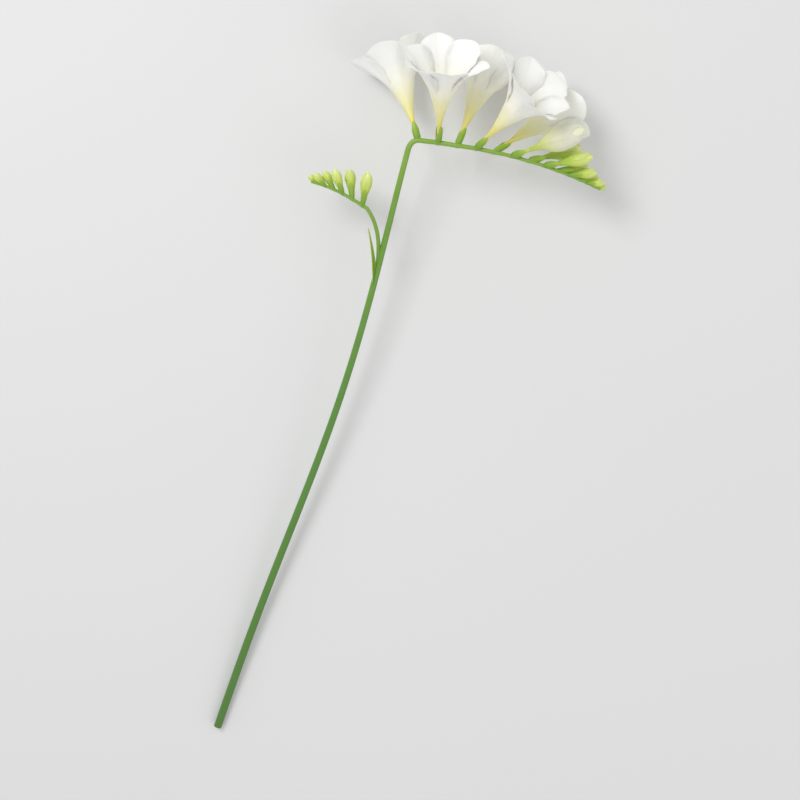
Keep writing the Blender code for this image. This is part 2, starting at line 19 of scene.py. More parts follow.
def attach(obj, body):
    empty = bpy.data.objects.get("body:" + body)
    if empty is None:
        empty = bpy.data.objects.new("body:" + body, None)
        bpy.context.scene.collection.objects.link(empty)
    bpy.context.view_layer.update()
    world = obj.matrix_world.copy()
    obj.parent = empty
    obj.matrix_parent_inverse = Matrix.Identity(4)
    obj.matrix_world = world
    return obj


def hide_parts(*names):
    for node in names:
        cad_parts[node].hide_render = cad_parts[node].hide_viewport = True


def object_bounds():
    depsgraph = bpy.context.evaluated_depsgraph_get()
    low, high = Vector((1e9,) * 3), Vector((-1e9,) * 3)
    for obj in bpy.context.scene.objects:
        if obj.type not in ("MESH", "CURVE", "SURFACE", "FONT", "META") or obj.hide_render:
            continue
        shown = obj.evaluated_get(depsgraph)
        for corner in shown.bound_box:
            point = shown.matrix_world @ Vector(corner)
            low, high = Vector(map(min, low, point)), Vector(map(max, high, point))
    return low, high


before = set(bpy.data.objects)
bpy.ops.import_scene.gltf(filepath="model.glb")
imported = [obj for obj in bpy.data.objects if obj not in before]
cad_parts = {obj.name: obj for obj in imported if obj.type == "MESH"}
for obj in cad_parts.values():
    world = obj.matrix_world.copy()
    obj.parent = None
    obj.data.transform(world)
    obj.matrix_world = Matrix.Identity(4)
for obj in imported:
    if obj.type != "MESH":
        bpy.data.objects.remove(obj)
CAD_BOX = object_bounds()

MM = 0.001
GAP = 0.3 * MM
SHARP_ANGLE = math.radians(50.0)
# What lies on the table stays this far above it
TABLE_TOUCH = 0.02 * MM
# The draws of each flower start from this and its number
FLOWER_SEED = 700
# Points closer than this are one
SKIN_WELD = 0.02 * MM
ROD_WELD = 0.001 * MM

# The stem, from its cut end to the bend under the first flower
BEND = Vector((-0.0321, 0.16065, 0.0362))
STEM_LENGTH = 0.385
CUT_RADIUS = 2.4 * MM
BEND_RADIUS = 1.6 * MM
STEM_TAPER = 1.3
STEM_SWAY = 5.0 * MM
SWAY_WAVES = 1.1
STEM_WIGGLE = 2.0 * MM
WIGGLE_WAVES = 2.3
STEM_RISE_EARLY = 0.55
STEM_RISE_POWER = 2.2
STEM_RINGS = 110
STEM_SIDES = 16
BEND_INSET = 7.0 * MM
BEND_CORNER = Vector((-0.3 * MM, 0.6 * MM, 0.0))
BEND_END = 0.9 * BEND_INSET
BEND_SPARE = 2.0 * MM
BEND_RINGS = 14

# The cut face, which is sunk a little inside its rim
CUT_FACE_SPARE = 0.05 * MM
CUT_RIM = 0.35 * MM
CUT_HOLLOW = 0.15 * MM

# The comb, along which each flower sits on its own small joint
COMB_LENGTH = 0.109
COMB_ARCH = 9.0 * MM
COMB_ARCH_WAVES = 0.75
COMB_LIFT = 2.0 * MM
COMB_ZIGZAG = 0.5 * MM
ZIGZAG_GROWS_OVER = 4.0 * MM
COMB_RADIUS = 1.45 * MM
COMB_STEP = 1.0 * MM
TIP_RADIUS = 0.7 * MM
JOINT_SWELL = 0.22
JOINT_REACH = 1.6 * MM

# The tube and funnel of a flower
TUBE_RADIUS = 1.25 * MM
TUBE_LENGTH = 9.0 * MM
FUNNEL_LENGTH = 38.0 * MM
FUNNEL_RADIUS = 9.6 * MM
FUNNEL_SWELL = 1.28
FUNNEL_FLOOR = 0.42
FUNNEL_RINGS = 10
FUNNEL_CROWDING = 0.9
FOOT_RINGS = (0.0, 0.5 * MM, 3.0 * MM)
FOOT_POINT_RADIUS = 0.5 * TUBE_RADIUS
FOOT_WALL = 0.2 * MM
WALL_MIDDLE = 0.375 * MM

# A petal, whose lean is the angle between its middle line and the flower's axis
PETAL_COUNT = 6
PETAL_ROOT = 32.0 * MM
PETAL_LENGTH = 27.0 * MM
PETAL_HALF_WIDTH = 10.4 * MM
PETAL_ROOT_WIDTH = 0.50
PETAL_WIDEST = 0.62
PETAL_TIP_NARROWING = 0.50
PETAL_CORNER_CUT = 0.17
PETAL_CORNER_POWER = 2.5
PETAL_ROOT_LEAN = 20.0
PETAL_CURL = 1.15
OUTER_PETAL = {"lean": 8.0, "shift": 0.55 * MM, "length": 1.0, "width": 0.95}
INNER_PETAL = {"lean": -6.0, "shift": -0.5 * MM, "length": 0.96, "width": 1.05}
PETAL_SHIFTED_BY = 0.15
PETAL_WIDENED_BY = 0.22
PETAL_LEANS_BY = 0.2
PETAL_CUP_RADIUS = 24.0 * MM
PETAL_CUP_PACE = 1.3
PETAL_WAVE = 0.6 * MM
PETAL_WAVE_ALONG = 5.0
PETAL_WAVE_ACROSS = 2.2
PETAL_FOLD = 0.5 * MM
PETAL_FOLD_WAVES = 1.5
PETAL_LINE_STEPS = 24
PETAL_ROWS = 11
PETAL_COLUMNS = 8

# How much petals differ: as shares of their length, width and cup, and as degrees of lean
LENGTH_DRAW = (0.95, 1.05)
WIDTH_DRAW = (0.94, 1.05)
CUP_DRAW = (0.9, 1.3)
LEAN_DRAW = (-7.0, 7.0)

# The soft relief of petals: pleats and slow folds that grow past the funnel, and a ruffle on the edges
RELIEF_PACE = 3.0
PLEAT_DEPTH = 0.045 * MM
PLEAT_WAVES = 20.0
PLEAT_DRIFT = 1.5
PLEAT_DRIFT_ROUND = 3.0
SLOW_FOLD = 0.25 * MM
SLOW_FOLD_ROUND = 4.0
SLOW_FOLD_ALONG = 5.0
EDGE_RUFFLE = 0.35 * MM
RUFFLE_EDGE_POWER = 5
RUFFLE_PACE = 1.6
RUFFLE_ALONG = 17.0
RUFFLE_ROUND = 7.0

# The thickness of petals, and how much of it their edges and tips lose
PETAL_THICKNESS = 0.42 * MM
EDGE_THINNING = 0.65
THIN_EDGE_FROM = 0.6
THIN_EDGE_PACE = 12.0
THIN_TIP_FROM = 0.88

# How petals bend where they are pressed on the table, and how many blends above it nothing bends
PRESS_BLEND = 1.0 * MM
PRESS_REACH = 8.0

# How far an inner petal keeps from the outer ones that lie over its edges, and how that spreads
PARTING = 0.5 * MM
PARTED_BY = 0.12
PARTING_SEARCH = 3.0 * MM
PARTING_SQUARE = 0.8
PARTING_ROUNDS = 4
PARTING_SPREAD = 8
PARTING_FALL = 0.86
ROW_SHARE = 0.5

Bloom = namedtuple("Bloom", "along fan tilt roll spread size")
BLOOMS = (
    Bloom(0.0040, -35.0, -26.5, 12.0, 63.0, 0.98),
    Bloom(0.0150, -15.0, 25.0, 40.0, 59.0, 1.02),
    Bloom(0.0255, 5.0, -25.0, 25.0, 58.0, 1.01),
    Bloom(0.0360, 24.0, 24.0, 5.0, 61.0, 1.01),
    Bloom(0.0460, 43.0, -26.0, 30.0, 55.0, 0.95),
)

# The stamens and the style, as distances from the axis and heights above the funnel's floor, and for the
# style's arms above its top
THREAD_COUNT = 3
THREAD_RADIUS = 0.30 * MM
THREAD_SIDES = 8
THREAD_CLEARANCE = 0.9 * MM
STYLE_HEIGHT = 21.0 * MM
STYLE_FOOT_DROP = 0.2 * MM
STYLE_FOOT_RADIUS = 0.42 * MM
STYLE_STEPS = 6
STYLE_SIDES = 10
STYLE_ARM = ((0.05 * MM, -0.4 * MM), (0.45 * MM, 0.6 * MM), (1.1 * MM, 1.4 * MM), (1.75 * MM, 1.9 * MM))
STYLE_ARM_RADII = (0.26 * MM, 0.28 * MM, 0.32 * MM, 0.36 * MM)
FILAMENT = ((0.2 * MM, 0.0), (1.0 * MM, 5.0 * MM), (1.5 * MM, 10.0 * MM))
ANTHER_FOOT = (1.55 * MM, 9.6 * MM)
ANTHER_TIP = (2.95 * MM, 18.8 * MM)
ANTHER_WIDTH = 1.25 * MM
FURROW_EDGE = 0.3 * ANTHER_WIDTH
FURROW_DEPTH = 0.22 * ANTHER_WIDTH
FURROWED_FACING = 0.9

# The buds, of which the large ones stand free in their bracts
Bud = namedtuple("Bud", "along fan tilt length radius")
LARGE_BUDS = (
    Bud(0.0560, 50.0, 21.0, 41.0 * MM, 7.0 * MM),
    Bud(0.0660, 61.0, -16.0, 29.0 * MM, 4.5 * MM),
    Bud(0.0750, 60.0, 16.0, 24.0 * MM, 3.7 * MM),
)
SMALL_BUDS = (
    Bud(0.0830, 68.0, -12.0, 19.0 * MM, 3.0 * MM),
    Bud(0.0900, 66.0, 13.0, 15.5 * MM, 2.6 * MM),
    Bud(0.0960, 72.0, -12.0, 12.5 * MM, 2.3 * MM),
    Bud(0.1010, 72.0, 11.0, 9.5 * MM, 1.9 * MM),
    Bud(0.1055, 78.0, -9.0, 7.0 * MM, 1.5 * MM),
)
COMB_SPOTS = BLOOMS + LARGE_BUDS + SMALL_BUDS
BUD_NECK = 0.42
BUD_FOOT = ((0.30, 0.0), (0.80, 0.05), (1.0, 0.16), (1.35, 0.34))
BUD_SWELLING = ((0.78, 0.50), (1.0, 0.68), (0.84, 0.84), (0.48, 0.95), (0.0, 1.0))
BUD_RIBS = 3
BUD_RIB = 0.07
BUD_BEND = 0.10
BUD_SIDES = 12
BUD_RINGS = 14
BUD_TIP_RINGS = (0.965, 0.99)
BUD_POINT_RADIUS = 0.05 * MM
BUD_CORE_SIDE = 0.5

# The tepals wrapped round a bud
TEPAL_COUNT = 3
TEPAL_FROM = 0.20
TEPAL_TO = 0.985
TEPAL_POINT = 0.05
TEPAL_WRAP = math.radians(74.0)
TEPAL_NARROWING = 0.75
TEPAL_NARROWS_FROM = 0.80
TEPAL_NARROWS_OVER = 0.20
TEPAL_TWIST = 0.35
TEPAL_LAP = 0.15 * MM
TEPAL_LAP_PACE = 4.0
TEPAL_ROOT_DROP = 0.06 * MM
TEPAL_ROOT_PACE = 5.0
TEPAL_THICKNESS = 0.18 * MM
TEPAL_ROWS = 14
TEPAL_COLUMNS = 8

# The pair of bracts round each foot
BRACT_LENGTH = 11.0 * MM
BUD_BRACT_SIZE = 0.9
BRACT_CLEARANCE = 0.14 * MM
OUTER_BRACT = {"side": 0.5 * math.pi, "wrap": math.radians(102.0), "above": 0.36 * MM, "size": 1.0}
INNER_BRACT = {"side": -0.5 * math.pi, "wrap": math.radians(90.0), "above": 0.0, "size": 0.92}
BRACT_ROOT = 0.45
BRACT_OPEN_BY = 0.2
BRACT_FLARE = 0.25 * MM
BRACT_KEEL = 0.10 * MM
BRACT_POINT = 0.30
BRACT_NARROWING = 0.55
BRACT_THICKNESS = 0.32 * MM
BRACT_ROWS = 10
BRACT_COLUMNS = 8

# The bracts of a small bud, which hug its skin
SMALL_BRACT_SHARE = 0.52
SMALL_BRACT_POINT = 0.25
SMALL_BRACT_WRAP = math.radians(76.0)
SMALL_BRACT_NARROWING = 0.5
SMALL_BRACT_SWELL = 1.06
SMALL_BRACT_GAPS = 0.5
SMALL_BRACT_OPENING = 0.6
SMALL_BRACT_ROOT = 0.40
SMALL_BRACT_THICKNESS = 0.8 * BRACT_THICKNESS

# The side shoot, whose own comb runs towards -X
SHOOT_FROM = 0.300
SHOOT_REACH = Vector((-0.017, 0.040, 0.006))
SHOOT_BOW = (0.15, 0.72, 0.5)
SHOOT_COMB_LENGTH = 0.0345
SHOOT_ARCH = 5.0 * MM
SHOOT_ARCH_WAVES = 0.6
SHOOT_LIFT = 1.5 * MM
SHOOT_RADIUS = 1.1 * MM
SHOOT_FOOT_EXTRA = 0.35 * MM
SHOOT_TIP_RADIUS = 0.65 * MM
SHOOT_RINGS = 30
SHOOT_SIDES = 12
SHOOT_FOOT_TONE = 0.8
SHOOT_BUDS = (
    Bud(0.0030, -8.0, 16.0, 20.0 * MM, 3.1 * MM),
    Bud(0.0095, -24.0, -16.0, 17.5 * MM, 2.9 * MM),
    Bud(0.0155, -36.0, 15.0, 15.0 * MM, 2.6 * MM),
    Bud(0.0210, -48.0, -14.0, 12.0 * MM, 2.3 * MM),
    Bud(0.0260, -58.0, 13.0, 9.5 * MM, 1.9 * MM),
    Bud(0.0305, -67.0, -9.0, 7.0 * MM, 1.5 * MM),
)

# The narrow leaf below the side shoot, along its middle, across it, and for its fold
LEAF_REACH = Vector((-0.0129, 0.0313, 0.0075))
LEAF_FOOT = Vector((-0.4 * MM, -1.0 * MM, 1.2 * MM))
LEAF_ACROSS = Vector((0.55, -0.25, -0.80))
LEAF_CURVE = 1.4
LEAF_HALF_WIDTH = 2.6 * MM
LEAF_ROOT_WIDTH = 0.55
LEAF_WIDE_BY = 0.3
LEAF_TIP_NARROWING = 0.9
LEAF_TIP_POWER = 2.4
LEAF_FOLD = 0.35
LEAF_THICKNESS = 0.4 * MM
LEAF_ROWS = 24
LEAF_COLUMNS = 8

# Colours along each part, from its root at 0 to its tip at 1
PETAL_STOPS = (
    (0.0, (0.60, 0.62, 0.08)), (0.19, (0.86, 0.75, 0.20)), (0.37, (0.92, 0.86, 0.46)),
    (0.57, (0.93, 0.91, 0.78)), (0.76, (0.94, 0.94, 0.90)))
THROAT_STOPS = (
    (0.0, (0.50, 0.50, 0.08)), (0.28, (0.78, 0.66, 0.16)), (0.44, (0.90, 0.82, 0.44)),
    (0.60, (0.93, 0.91, 0.78)), (0.76, (0.94, 0.94, 0.90)))
LIME_STOPS = (
    (0.0, (0.20, 0.38, 0.03)), (0.30, (0.40, 0.58, 0.06)), (0.62, (0.58, 0.72, 0.12)),
    (1.0, (0.76, 0.82, 0.30)))
CREAM_STOPS = (
    (0.0, (0.36, 0.52, 0.04)), (0.28, (0.52, 0.66, 0.08)), (0.46, (0.74, 0.78, 0.28)),
    (0.66, (0.88, 0.87, 0.58)), (0.90, (0.92, 0.91, 0.76)))
BRACT_STOPS = ((0.0, (0.17, 0.33, 0.03)), (0.6, (0.25, 0.42, 0.03)), (1.0, (0.40, 0.53, 0.07)))
STEM_STOPS = (
    (0.0, (0.07, 0.18, 0.03)), (0.6, (0.10, 0.25, 0.035)), (0.9, (0.19, 0.36, 0.04)),
    (1.0, (0.27, 0.44, 0.05)))
POLLEN_STOPS = ((0.0, (0.80, 0.72, 0.42)), (1.0, (0.86, 0.80, 0.52)))
THREAD_STOPS = ((0.0, (0.78, 0.80, 0.58)), (1.0, (0.86, 0.86, 0.76)))

# The plant skins: mottle is how fine their mottling is, soft how much light passes under them, and edge the
# colour of a pale edge
Veins = namedtuple("Veins", "count colour share")
Skin = namedtuple("Skin", "stops veins rough relief mottle soft edge", defaults=(0.0, None))
PETAL_SKIN = Skin(
    PETAL_STOPS, Veins(7.0, (0.88, 0.86, 0.72), 0.16), rough=0.50, relief=0.05 * MM, mottle=60.0, soft=0.65)
SKINS = {
    "petal_outside": PETAL_SKIN,
    "petal_inside": PETAL_SKIN._replace(stops=THROAT_STOPS),
    "lime_bud": Skin(
        LIME_STOPS, Veins(5.0, (0.34, 0.52, 0.06), 0.35), rough=0.42, relief=0.06 * MM, mottle=120.0,
        soft=0.25),
    "cream_bud": Skin(
        CREAM_STOPS, Veins(6.0, (0.66, 0.70, 0.30), 0.30), rough=0.45, relief=0.07 * MM, mottle=80.0,
        soft=0.4),
    "bract_green": Skin(
        BRACT_STOPS, Veins(6.0, (0.15, 0.29, 0.03), 0.45), rough=0.45, relief=0.06 * MM, mottle=150.0,
        soft=0.12, edge=(0.50, 0.60, 0.16)),
    "stem_green": Skin(
        STEM_STOPS, Veins(5.0, (0.09, 0.23, 0.03), 0.3), rough=0.42, relief=0.05 * MM, mottle=90.0),
    "pollen_cream": Skin(
        POLLEN_STOPS, Veins(3.0, (0.74, 0.66, 0.36), 0.2), rough=0.8, relief=0.10 * MM, mottle=500.0),
    "thread_pale": Skin(
        THREAD_STOPS, Veins(3.0, (0.80, 0.80, 0.66), 0.1), rough=0.5, relief=0.03 * MM, mottle=300.0,
        soft=0.2),
}

# What all plant skins share
GRAIN_FINER_BY = 14.0
SLOW_DETAIL = 3.0
FINE_DETAIL = 2.0
VEIN_WANDER = 0.10
VEIN_DRIFT_SCALE = 3.0
VEIN_DRIFT_ACROSS = 2.0
VEIN_DRIFT_ALONG = 5.0
VEIN_SHARPNESS = 4.0
COLOUR_DRIFT = 0.14
TONE_DRIFT = 0.10
ROUGH_DRIFT = 0.15
EDGE_POWER = 6.0
EDGE_SHARE = 0.6
RELIEF_SHARE = 0.5
RELIEF_STRENGTH = 0.5
LIGHT_PASSES = (1.0, 1.0, 0.9)
LIGHT_REACH = 1.2 * MM

# The cells of the cut face, whose colours go from the middle of a cell outwards
CUT_CELLS = 1400.0
CUT_STOPS = ((0.0, (0.22, 0.30, 0.10)), (0.45, (0.55, 0.62, 0.33)))
CUT_ROUGH = 0.7

# The table, the light and the camera, whose rise past 90 degrees leans it to the flowers' side
TABLE_SIZE = 6.0
TABLE_TONE = 0.73
TABLE_TONE_DRIFT = 0.02
TABLE_MOTTLE = 3.0
TABLE_GRAIN = 400.0
TABLE_ROUGH = 0.8
WHITE = (1.0, 1.0, 1.0, 1.0)
ROOM_LIGHT = 0.68
LIT_SPOT = Vector((0.0, 0.02, 0.03))
LAMPS = {
    "key_light": {"spot": Vector((-0.9, 0.7, 1.3)), "size": 0.7, "power": 12.0},
    "fill_light": {"spot": Vector((1.2, -0.2, 1.0)), "size": 1.2, "power": 3.0},
}
CAMERA_ROLL = -18.0
CAMERA_RISE = 104.0
CAMERA_LENS = 85.0
CAMERA_FILL = 0.92


def smooth(t):
    """0 below 0, 1 above 1 and an even curve between."""
    t = min(max(t, 0.0), 1.0)
    return t * t * (3.0 - 2.0 * t)


def mixed(low, high, share):
    return low + (high - low) * share


def deselect():
    if bpy.context.object and bpy.context.object.mode != "OBJECT":
        bpy.ops.object.mode_set(mode="OBJECT")
    bpy.ops.object.select_all(action="DESELECT")


def take(piece):
    """Makes a piece the only one that operators act on."""
    deselect()
    piece.select_set(True)
    bpy.context.view_layer.objects.active = piece


def added(name):
    """Names the primitive that was just added, and its mesh."""
    piece = bpy.context.object
    piece.name = name
    piece.data.name = name
    return piece


def opened(piece):
    """Opens a piece in edit mode with its whole mesh selected."""
    take(piece)
    bpy.ops.object.mode_set(mode="EDIT")
    bpy.ops.mesh.select_all(action="SELECT")


def opened_at(piece, wanted):
    """Opens a piece in edit mode with only the wanted faces selected."""
    opened(piece)
    bpy.ops.mesh.select_all(action="DESELECT")
    shape = bmesh.from_edit_mesh(piece.data)
    for face in shape.faces:
        face.select = wanted(face)
    bmesh.update_edit_mesh(piece.data)


def closed():
    bpy.ops.object.mode_set(mode="OBJECT")


def welded(piece, distance):
    opened(piece)
    bpy.ops.mesh.remove_doubles(threshold=distance)
    closed()


def faced_outwards(piece):
    opened(piece)
    bpy.ops.mesh.normals_make_consistent(inside=False)
    closed()


def turned_round(piece):
    """Makes an open skin face the other way."""
    opened(piece)
    bpy.ops.mesh.flip_normals()
    closed()


def modify(piece, kind, **settings):
    """Adds a modifier to a piece and applies it."""
    take(piece)
    step = piece.modifiers.new(kind.lower(), kind)
    for name, value in settings.items():
        setattr(step, name, value)
    bpy.ops.object.modifier_apply(modifier=step.name)


def smoothed(piece, levels):
    modify(piece, "SUBSURF", levels=levels, render_levels=levels)


def joined(name, pieces):
    """Joins pieces into the first one, each part keeping its material."""
    take(pieces[0])
    for piece in pieces[1:]:
        piece.select_set(True)
    bpy.ops.object.join()
    return added(name)


def placed(piece, place):
    """Puts a piece where it grows, and keeps that place in its mesh."""
    take(piece)
    piece.matrix_world = place
    bpy.ops.object.transform_apply(location=True, rotation=True, scale=True)


def coated(pieces, *finishes):
    """Gives pieces their materials in place of any others."""
    for piece in pieces:
        piece.data.materials.clear()
        for finish in finishes:
            piece.data.materials.append(finish)
    return pieces


def dressed(piece, slot, *nodes):
    """Smooths a finished piece, ties it to the body and hides the solids that it stands for."""
    take(piece)
    bpy.ops.object.shade_smooth_by_angle(angle=SHARP_ANGLE)
    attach(piece, "root")
    if nodes:
        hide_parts(*nodes)


def measured(piece, **numbers):
    """Keeps numbers on the vertices of a piece, each by its name and the function that gives it."""
    mesh = piece.data
    for name, number_of in numbers.items():
        kept = mesh.attributes.get(name) or mesh.attributes.new(name, "FLOAT", "POINT")
        for vert in mesh.vertices:
            kept.data[vert.index].value = number_of(vert)


def read(piece, name):
    return [item.value for item in piece.data.attributes[name].data]


def sheet_of(name, lay, rows, columns):
    """A thin part: a grid laid along its length and across it, with both kept on its vertices."""
    bpy.ops.mesh.primitive_grid_add(x_subdivisions=columns, y_subdivisions=rows, size=1.0)
    piece = added(name)
    spots = [(vert.co.y + 0.5, 2.0 * vert.co.x) for vert in piece.data.vertices]
    measured(piece, reach=lambda vert: spots[vert.index][0], side=lambda vert: abs(spots[vert.index][1]))
    for vert, (along, across) in zip(piece.data.vertices, spots):
        vert.co = lay(along, across)
    return piece


def draw_up(piece, radii, heights, unit):
    """Draws the rim of a disc up through rings, whose heights are counted in units, and leaves it open."""
    opened(piece)
    bpy.ops.mesh.flip_normals()
    bpy.ops.mesh.region_to_loop()
    for i in range(1, len(radii)):
        rise = (0.0, 0.0, (heights[i] - heights[i - 1]) * unit)
        grow = radii[i] / radii[i - 1]
        bpy.ops.mesh.extrude_region_move(TRANSFORM_OT_translate={"value": rise})
        bpy.ops.transform.resize(value=(grow, grow, 1.0))


def rod(name, points, radii, sides):
    """A round rod along points, with closed ends, made a mesh."""
    bpy.ops.curve.primitive_nurbs_path_add()
    piece = added(name)
    curve = piece.data
    curve.splines.clear()
    curve.dimensions = "3D"
    curve.bevel_depth = 1.0
    curve.bevel_resolution = sides // 2 - 2
    curve.use_fill_caps = True
    line = curve.splines.new("POLY")
    line.points.add(len(points) - 1)
    for slot, point, radius in zip(line.points, points, radii):
        slot.co = (*point, 1.0)
        slot.radius = radius
    bpy.ops.object.convert(target="MESH")
    piece = added(name)
    welded(piece, ROD_WELD)
    faced_outwards(piece)
    return piece


def stem_point(part):
    """The middle line of the stem, from the cut end at 0 to the bend at 1."""
    def sideways(t):
        sway = STEM_SWAY * math.sin(SWAY_WAVES * math.pi * t)
        return sway - STEM_WIGGLE * math.sin(WIGGLE_WAVES * math.pi * t)

    rise = STEM_RISE_EARLY * part + (1.0 - STEM_RISE_EARLY) * part ** STEM_RISE_POWER
    return Vector((
        BEND.x + sideways(part) - sideways(1.0) * part,
        BEND.y - STEM_LENGTH * (1.0 - part),
        mixed(CUT_RADIUS, BEND.z, rise),
    ))


def stem_radius(part):
    return mixed(CUT_RADIUS, BEND_RADIUS, part ** STEM_TAPER)


def comb_point(along):
    """The middle line of the bent top, from the bend to its tip."""
    part = along / COMB_LENGTH
    arch = COMB_ARCH * math.sin(COMB_ARCH_WAVES * math.pi * part)
    return BEND + Vector((along, arch, COMB_LIFT * part))


def comb_radius(along):
    return mixed(COMB_RADIUS, TIP_RADIUS, along / COMB_LENGTH)


def comb_zigzag(along):
    """The zigzag of the comb, which rises and falls towards each flower in turn."""
    spots = [spot.along for spot in COMB_SPOTS]
    for i in range(len(spots) - 1):
        if along <= spots[i + 1]:
            part = smooth((along - spots[i]) / (spots[i + 1] - spots[i]))
            return COMB_ZIGZAG * mixed(1.0, -1.0, part) * (1.0 if i % 2 == 0 else -1.0)
    return 0.0


def shoot_start():
    return stem_point(SHOOT_FROM / STEM_LENGTH)


def shoot_point(along):
    """The middle line of the side shoot's comb."""
    part = along / SHOOT_COMB_LENGTH
    arch = SHOOT_ARCH * math.sin(SHOOT_ARCH_WAVES * math.pi * part)
    return shoot_start() + SHOOT_REACH + Vector((-along, arch, SHOOT_LIFT * part))


def shoot_radius(along):
    return mixed(SHOOT_RADIUS, SHOOT_TIP_RADIUS, along / SHOOT_COMB_LENGTH)


def joint_swell(along, spots):
    """How much thicker a comb is near the foot of each flower or bud on it."""
    near = min(abs(along - spot.along) for spot in spots)
    return 1.0 + JOINT_SWELL * smooth(1.0 - near / JOINT_REACH)


def arc(start, middle, end, count):
    """Points on a curve from start to end that bends towards middle."""
    parts = [i / count for i in range(count + 1)]
    return [start * (1 - t) ** 2 + middle * 2.0 * t * (1 - t) + end * t ** 2 for t in parts]


def main_line():
    """The points and radii of the stem, the bend and the comb."""
    before = stem_point(1.0 - BEND_INSET / STEM_LENGTH)
    parts = [i / STEM_RINGS for i in range(STEM_RINGS)]
    parts = [part for part in parts if stem_point(part).y < before.y - BEND_SPARE]
    points = [stem_point(part) for part in parts]
    radii = [stem_radius(part) for part in parts]
    points += arc(before, BEND + BEND_CORNER, comb_point(BEND_END), BEND_RINGS)
    radii += [mixed(BEND_RADIUS, COMB_RADIUS, i / BEND_RINGS) for i in range(BEND_RINGS + 1)]
    steps = int((COMB_LENGTH - BEND_INSET) / COMB_STEP)
    for i in range(1, steps + 1):
        along = mixed(BEND_INSET, COMB_LENGTH, i / steps)
        up = comb_zigzag(along) * smooth((along - BEND_INSET) / ZIGZAG_GROWS_OVER)
        points.append(comb_point(along) + Vector((0.0, 0.0, up)))
        radii.append(comb_radius(along) * joint_swell(along, COMB_SPOTS))
    return points, radii


def side_line():
    """The points and radii of the side shoot, which leaves the stem at a narrow angle and bends outwards."""
    foot = shoot_start()
    middle = foot + Vector([share * reach for share, reach in zip(SHOOT_BOW, SHOOT_REACH)])
    points = arc(foot, middle, shoot_point(0.0), SHOOT_RINGS)
    radii = [SHOOT_RADIUS + SHOOT_FOOT_EXTRA * (1.0 - i / SHOOT_RINGS) ** 3 for i in range(SHOOT_RINGS + 1)]
    steps = int(SHOOT_COMB_LENGTH / COMB_STEP)
    for i in range(1, steps + 1):
        along = SHOOT_COMB_LENGTH * i / steps
        points.append(shoot_point(along))
        radii.append(shoot_radius(along) * joint_swell(along, SHOOT_BUDS))
    return points, radii


def green_stem(green, cut):
    """The stem with its comb and side shoot, and a cut face at its lower end."""
    stem = rod("stem_line", *main_line(), STEM_SIDES)
    measured(stem, reach=lambda vert: (vert.co.y - CAD_BOX[0][1]) / STEM_LENGTH)
    shoot = rod("shoot_line", *side_line(), SHOOT_SIDES)
    foot = shoot_start().y
    measured(shoot, reach=lambda vert: mixed(
        SHOOT_FOOT_TONE, 1.0, smooth((vert.co.y - foot) / SHOOT_REACH.y)))
    coated([stem, shoot], green, cut)
    low = min(face.center.y for face in stem.data.polygons)
    for face in stem.data.polygons:
        face.material_index = int(face.center.y < low + CUT_FACE_SPARE)
    opened_at(stem, lambda face: face.material_index == 1)
    bpy.ops.mesh.inset(thickness=CUT_RIM, depth=-CUT_HOLLOW)
    closed()
    made = joined("stem_and_shoot", [stem, shoot])
    for vert in made.data.vertices:
        vert.co.z = max(vert.co.z, TABLE_TOUCH)
    dressed(made, "stem_green", "stem")


def leaf(finish):
    """The narrow folded leaf that stands where the side shoot leaves the stem."""
    foot = shoot_start() + LEAF_FOOT

    def lay(along, across):
        grown = mixed(LEAF_ROOT_WIDTH, 1.0, smooth(along / LEAF_WIDE_BY))
        grown *= 1.0 - LEAF_TIP_NARROWING * along ** LEAF_TIP_POWER
        side = LEAF_HALF_WIDTH * grown * across
        reach = Vector((
            LEAF_REACH.x * along ** LEAF_CURVE,
            LEAF_REACH.y * along,
            LEAF_REACH.z * along ** LEAF_CURVE,
        ))
        return foot + reach + LEAF_ACROSS * side + Vector((0.0, 0.0, LEAF_FOLD * abs(side)))

    blade = sheet_of("leaf", lay, LEAF_ROWS, LEAF_COLUMNS)
    modify(blade, "SOLIDIFY", thickness=LEAF_THICKNESS, offset=0.0)
    smoothed(blade, 1)
    coated([blade], finish)
    dressed(blade, "stem_green")


def aim(spot):
    """The direction of a flower or bud: fan turns it from +Y towards +X and tilt lifts it."""
    fan = math.radians(spot.fan)
    tilt = math.radians(spot.tilt)
    return Vector((math.sin(fan) * math.cos(tilt), math.cos(fan) * math.cos(tilt), math.sin(tilt)))


def stand(foot, way, roll):
    """The place of a flower whose own axis is +Z, at foot and pointing along way."""
    turn = way.to_track_quat("Z", "Y").to_matrix().to_4x4()
    return Matrix.Translation(foot) @ turn @ Matrix.Rotation(math.radians(roll), 4, "Z")


def comb_place(spot, foot_radius, roll):
    """The place of a flower or bud whose foot stands just clear of the comb."""
    way = aim(spot)
    line = (comb_point(spot.along + MM) - comb_point(spot.along)).normalized()
    slant = abs(way.dot(line))
    reach = (comb_radius(spot.along) + foot_radius * slant) / math.sqrt(1.0 - slant * slant) + GAP
    return stand(comb_point(spot.along) + way * reach, way, roll)


def funnel_radius(height):
    part = max(height - TUBE_LENGTH, 0.0) / (FUNNEL_LENGTH - TUBE_LENGTH)
    return mixed(TUBE_RADIUS, FUNNEL_RADIUS, part ** FUNNEL_SWELL)


def wall_radius(height):
    """The middle of the funnel's thin wall."""
    return funnel_radius(height) - mixed(FOOT_WALL, WALL_MIDDLE, smooth(height / PETAL_ROOT))


def sector_side(co):
    """How far a point of the funnel is from its petal's middle line, from 0 to 1."""
    turn = math.degrees(math.atan2(co.y, co.x)) % (360.0 / PETAL_COUNT)
    return abs(1.0 - abs(turn * PETAL_COUNT / 180.0 - 1.0))


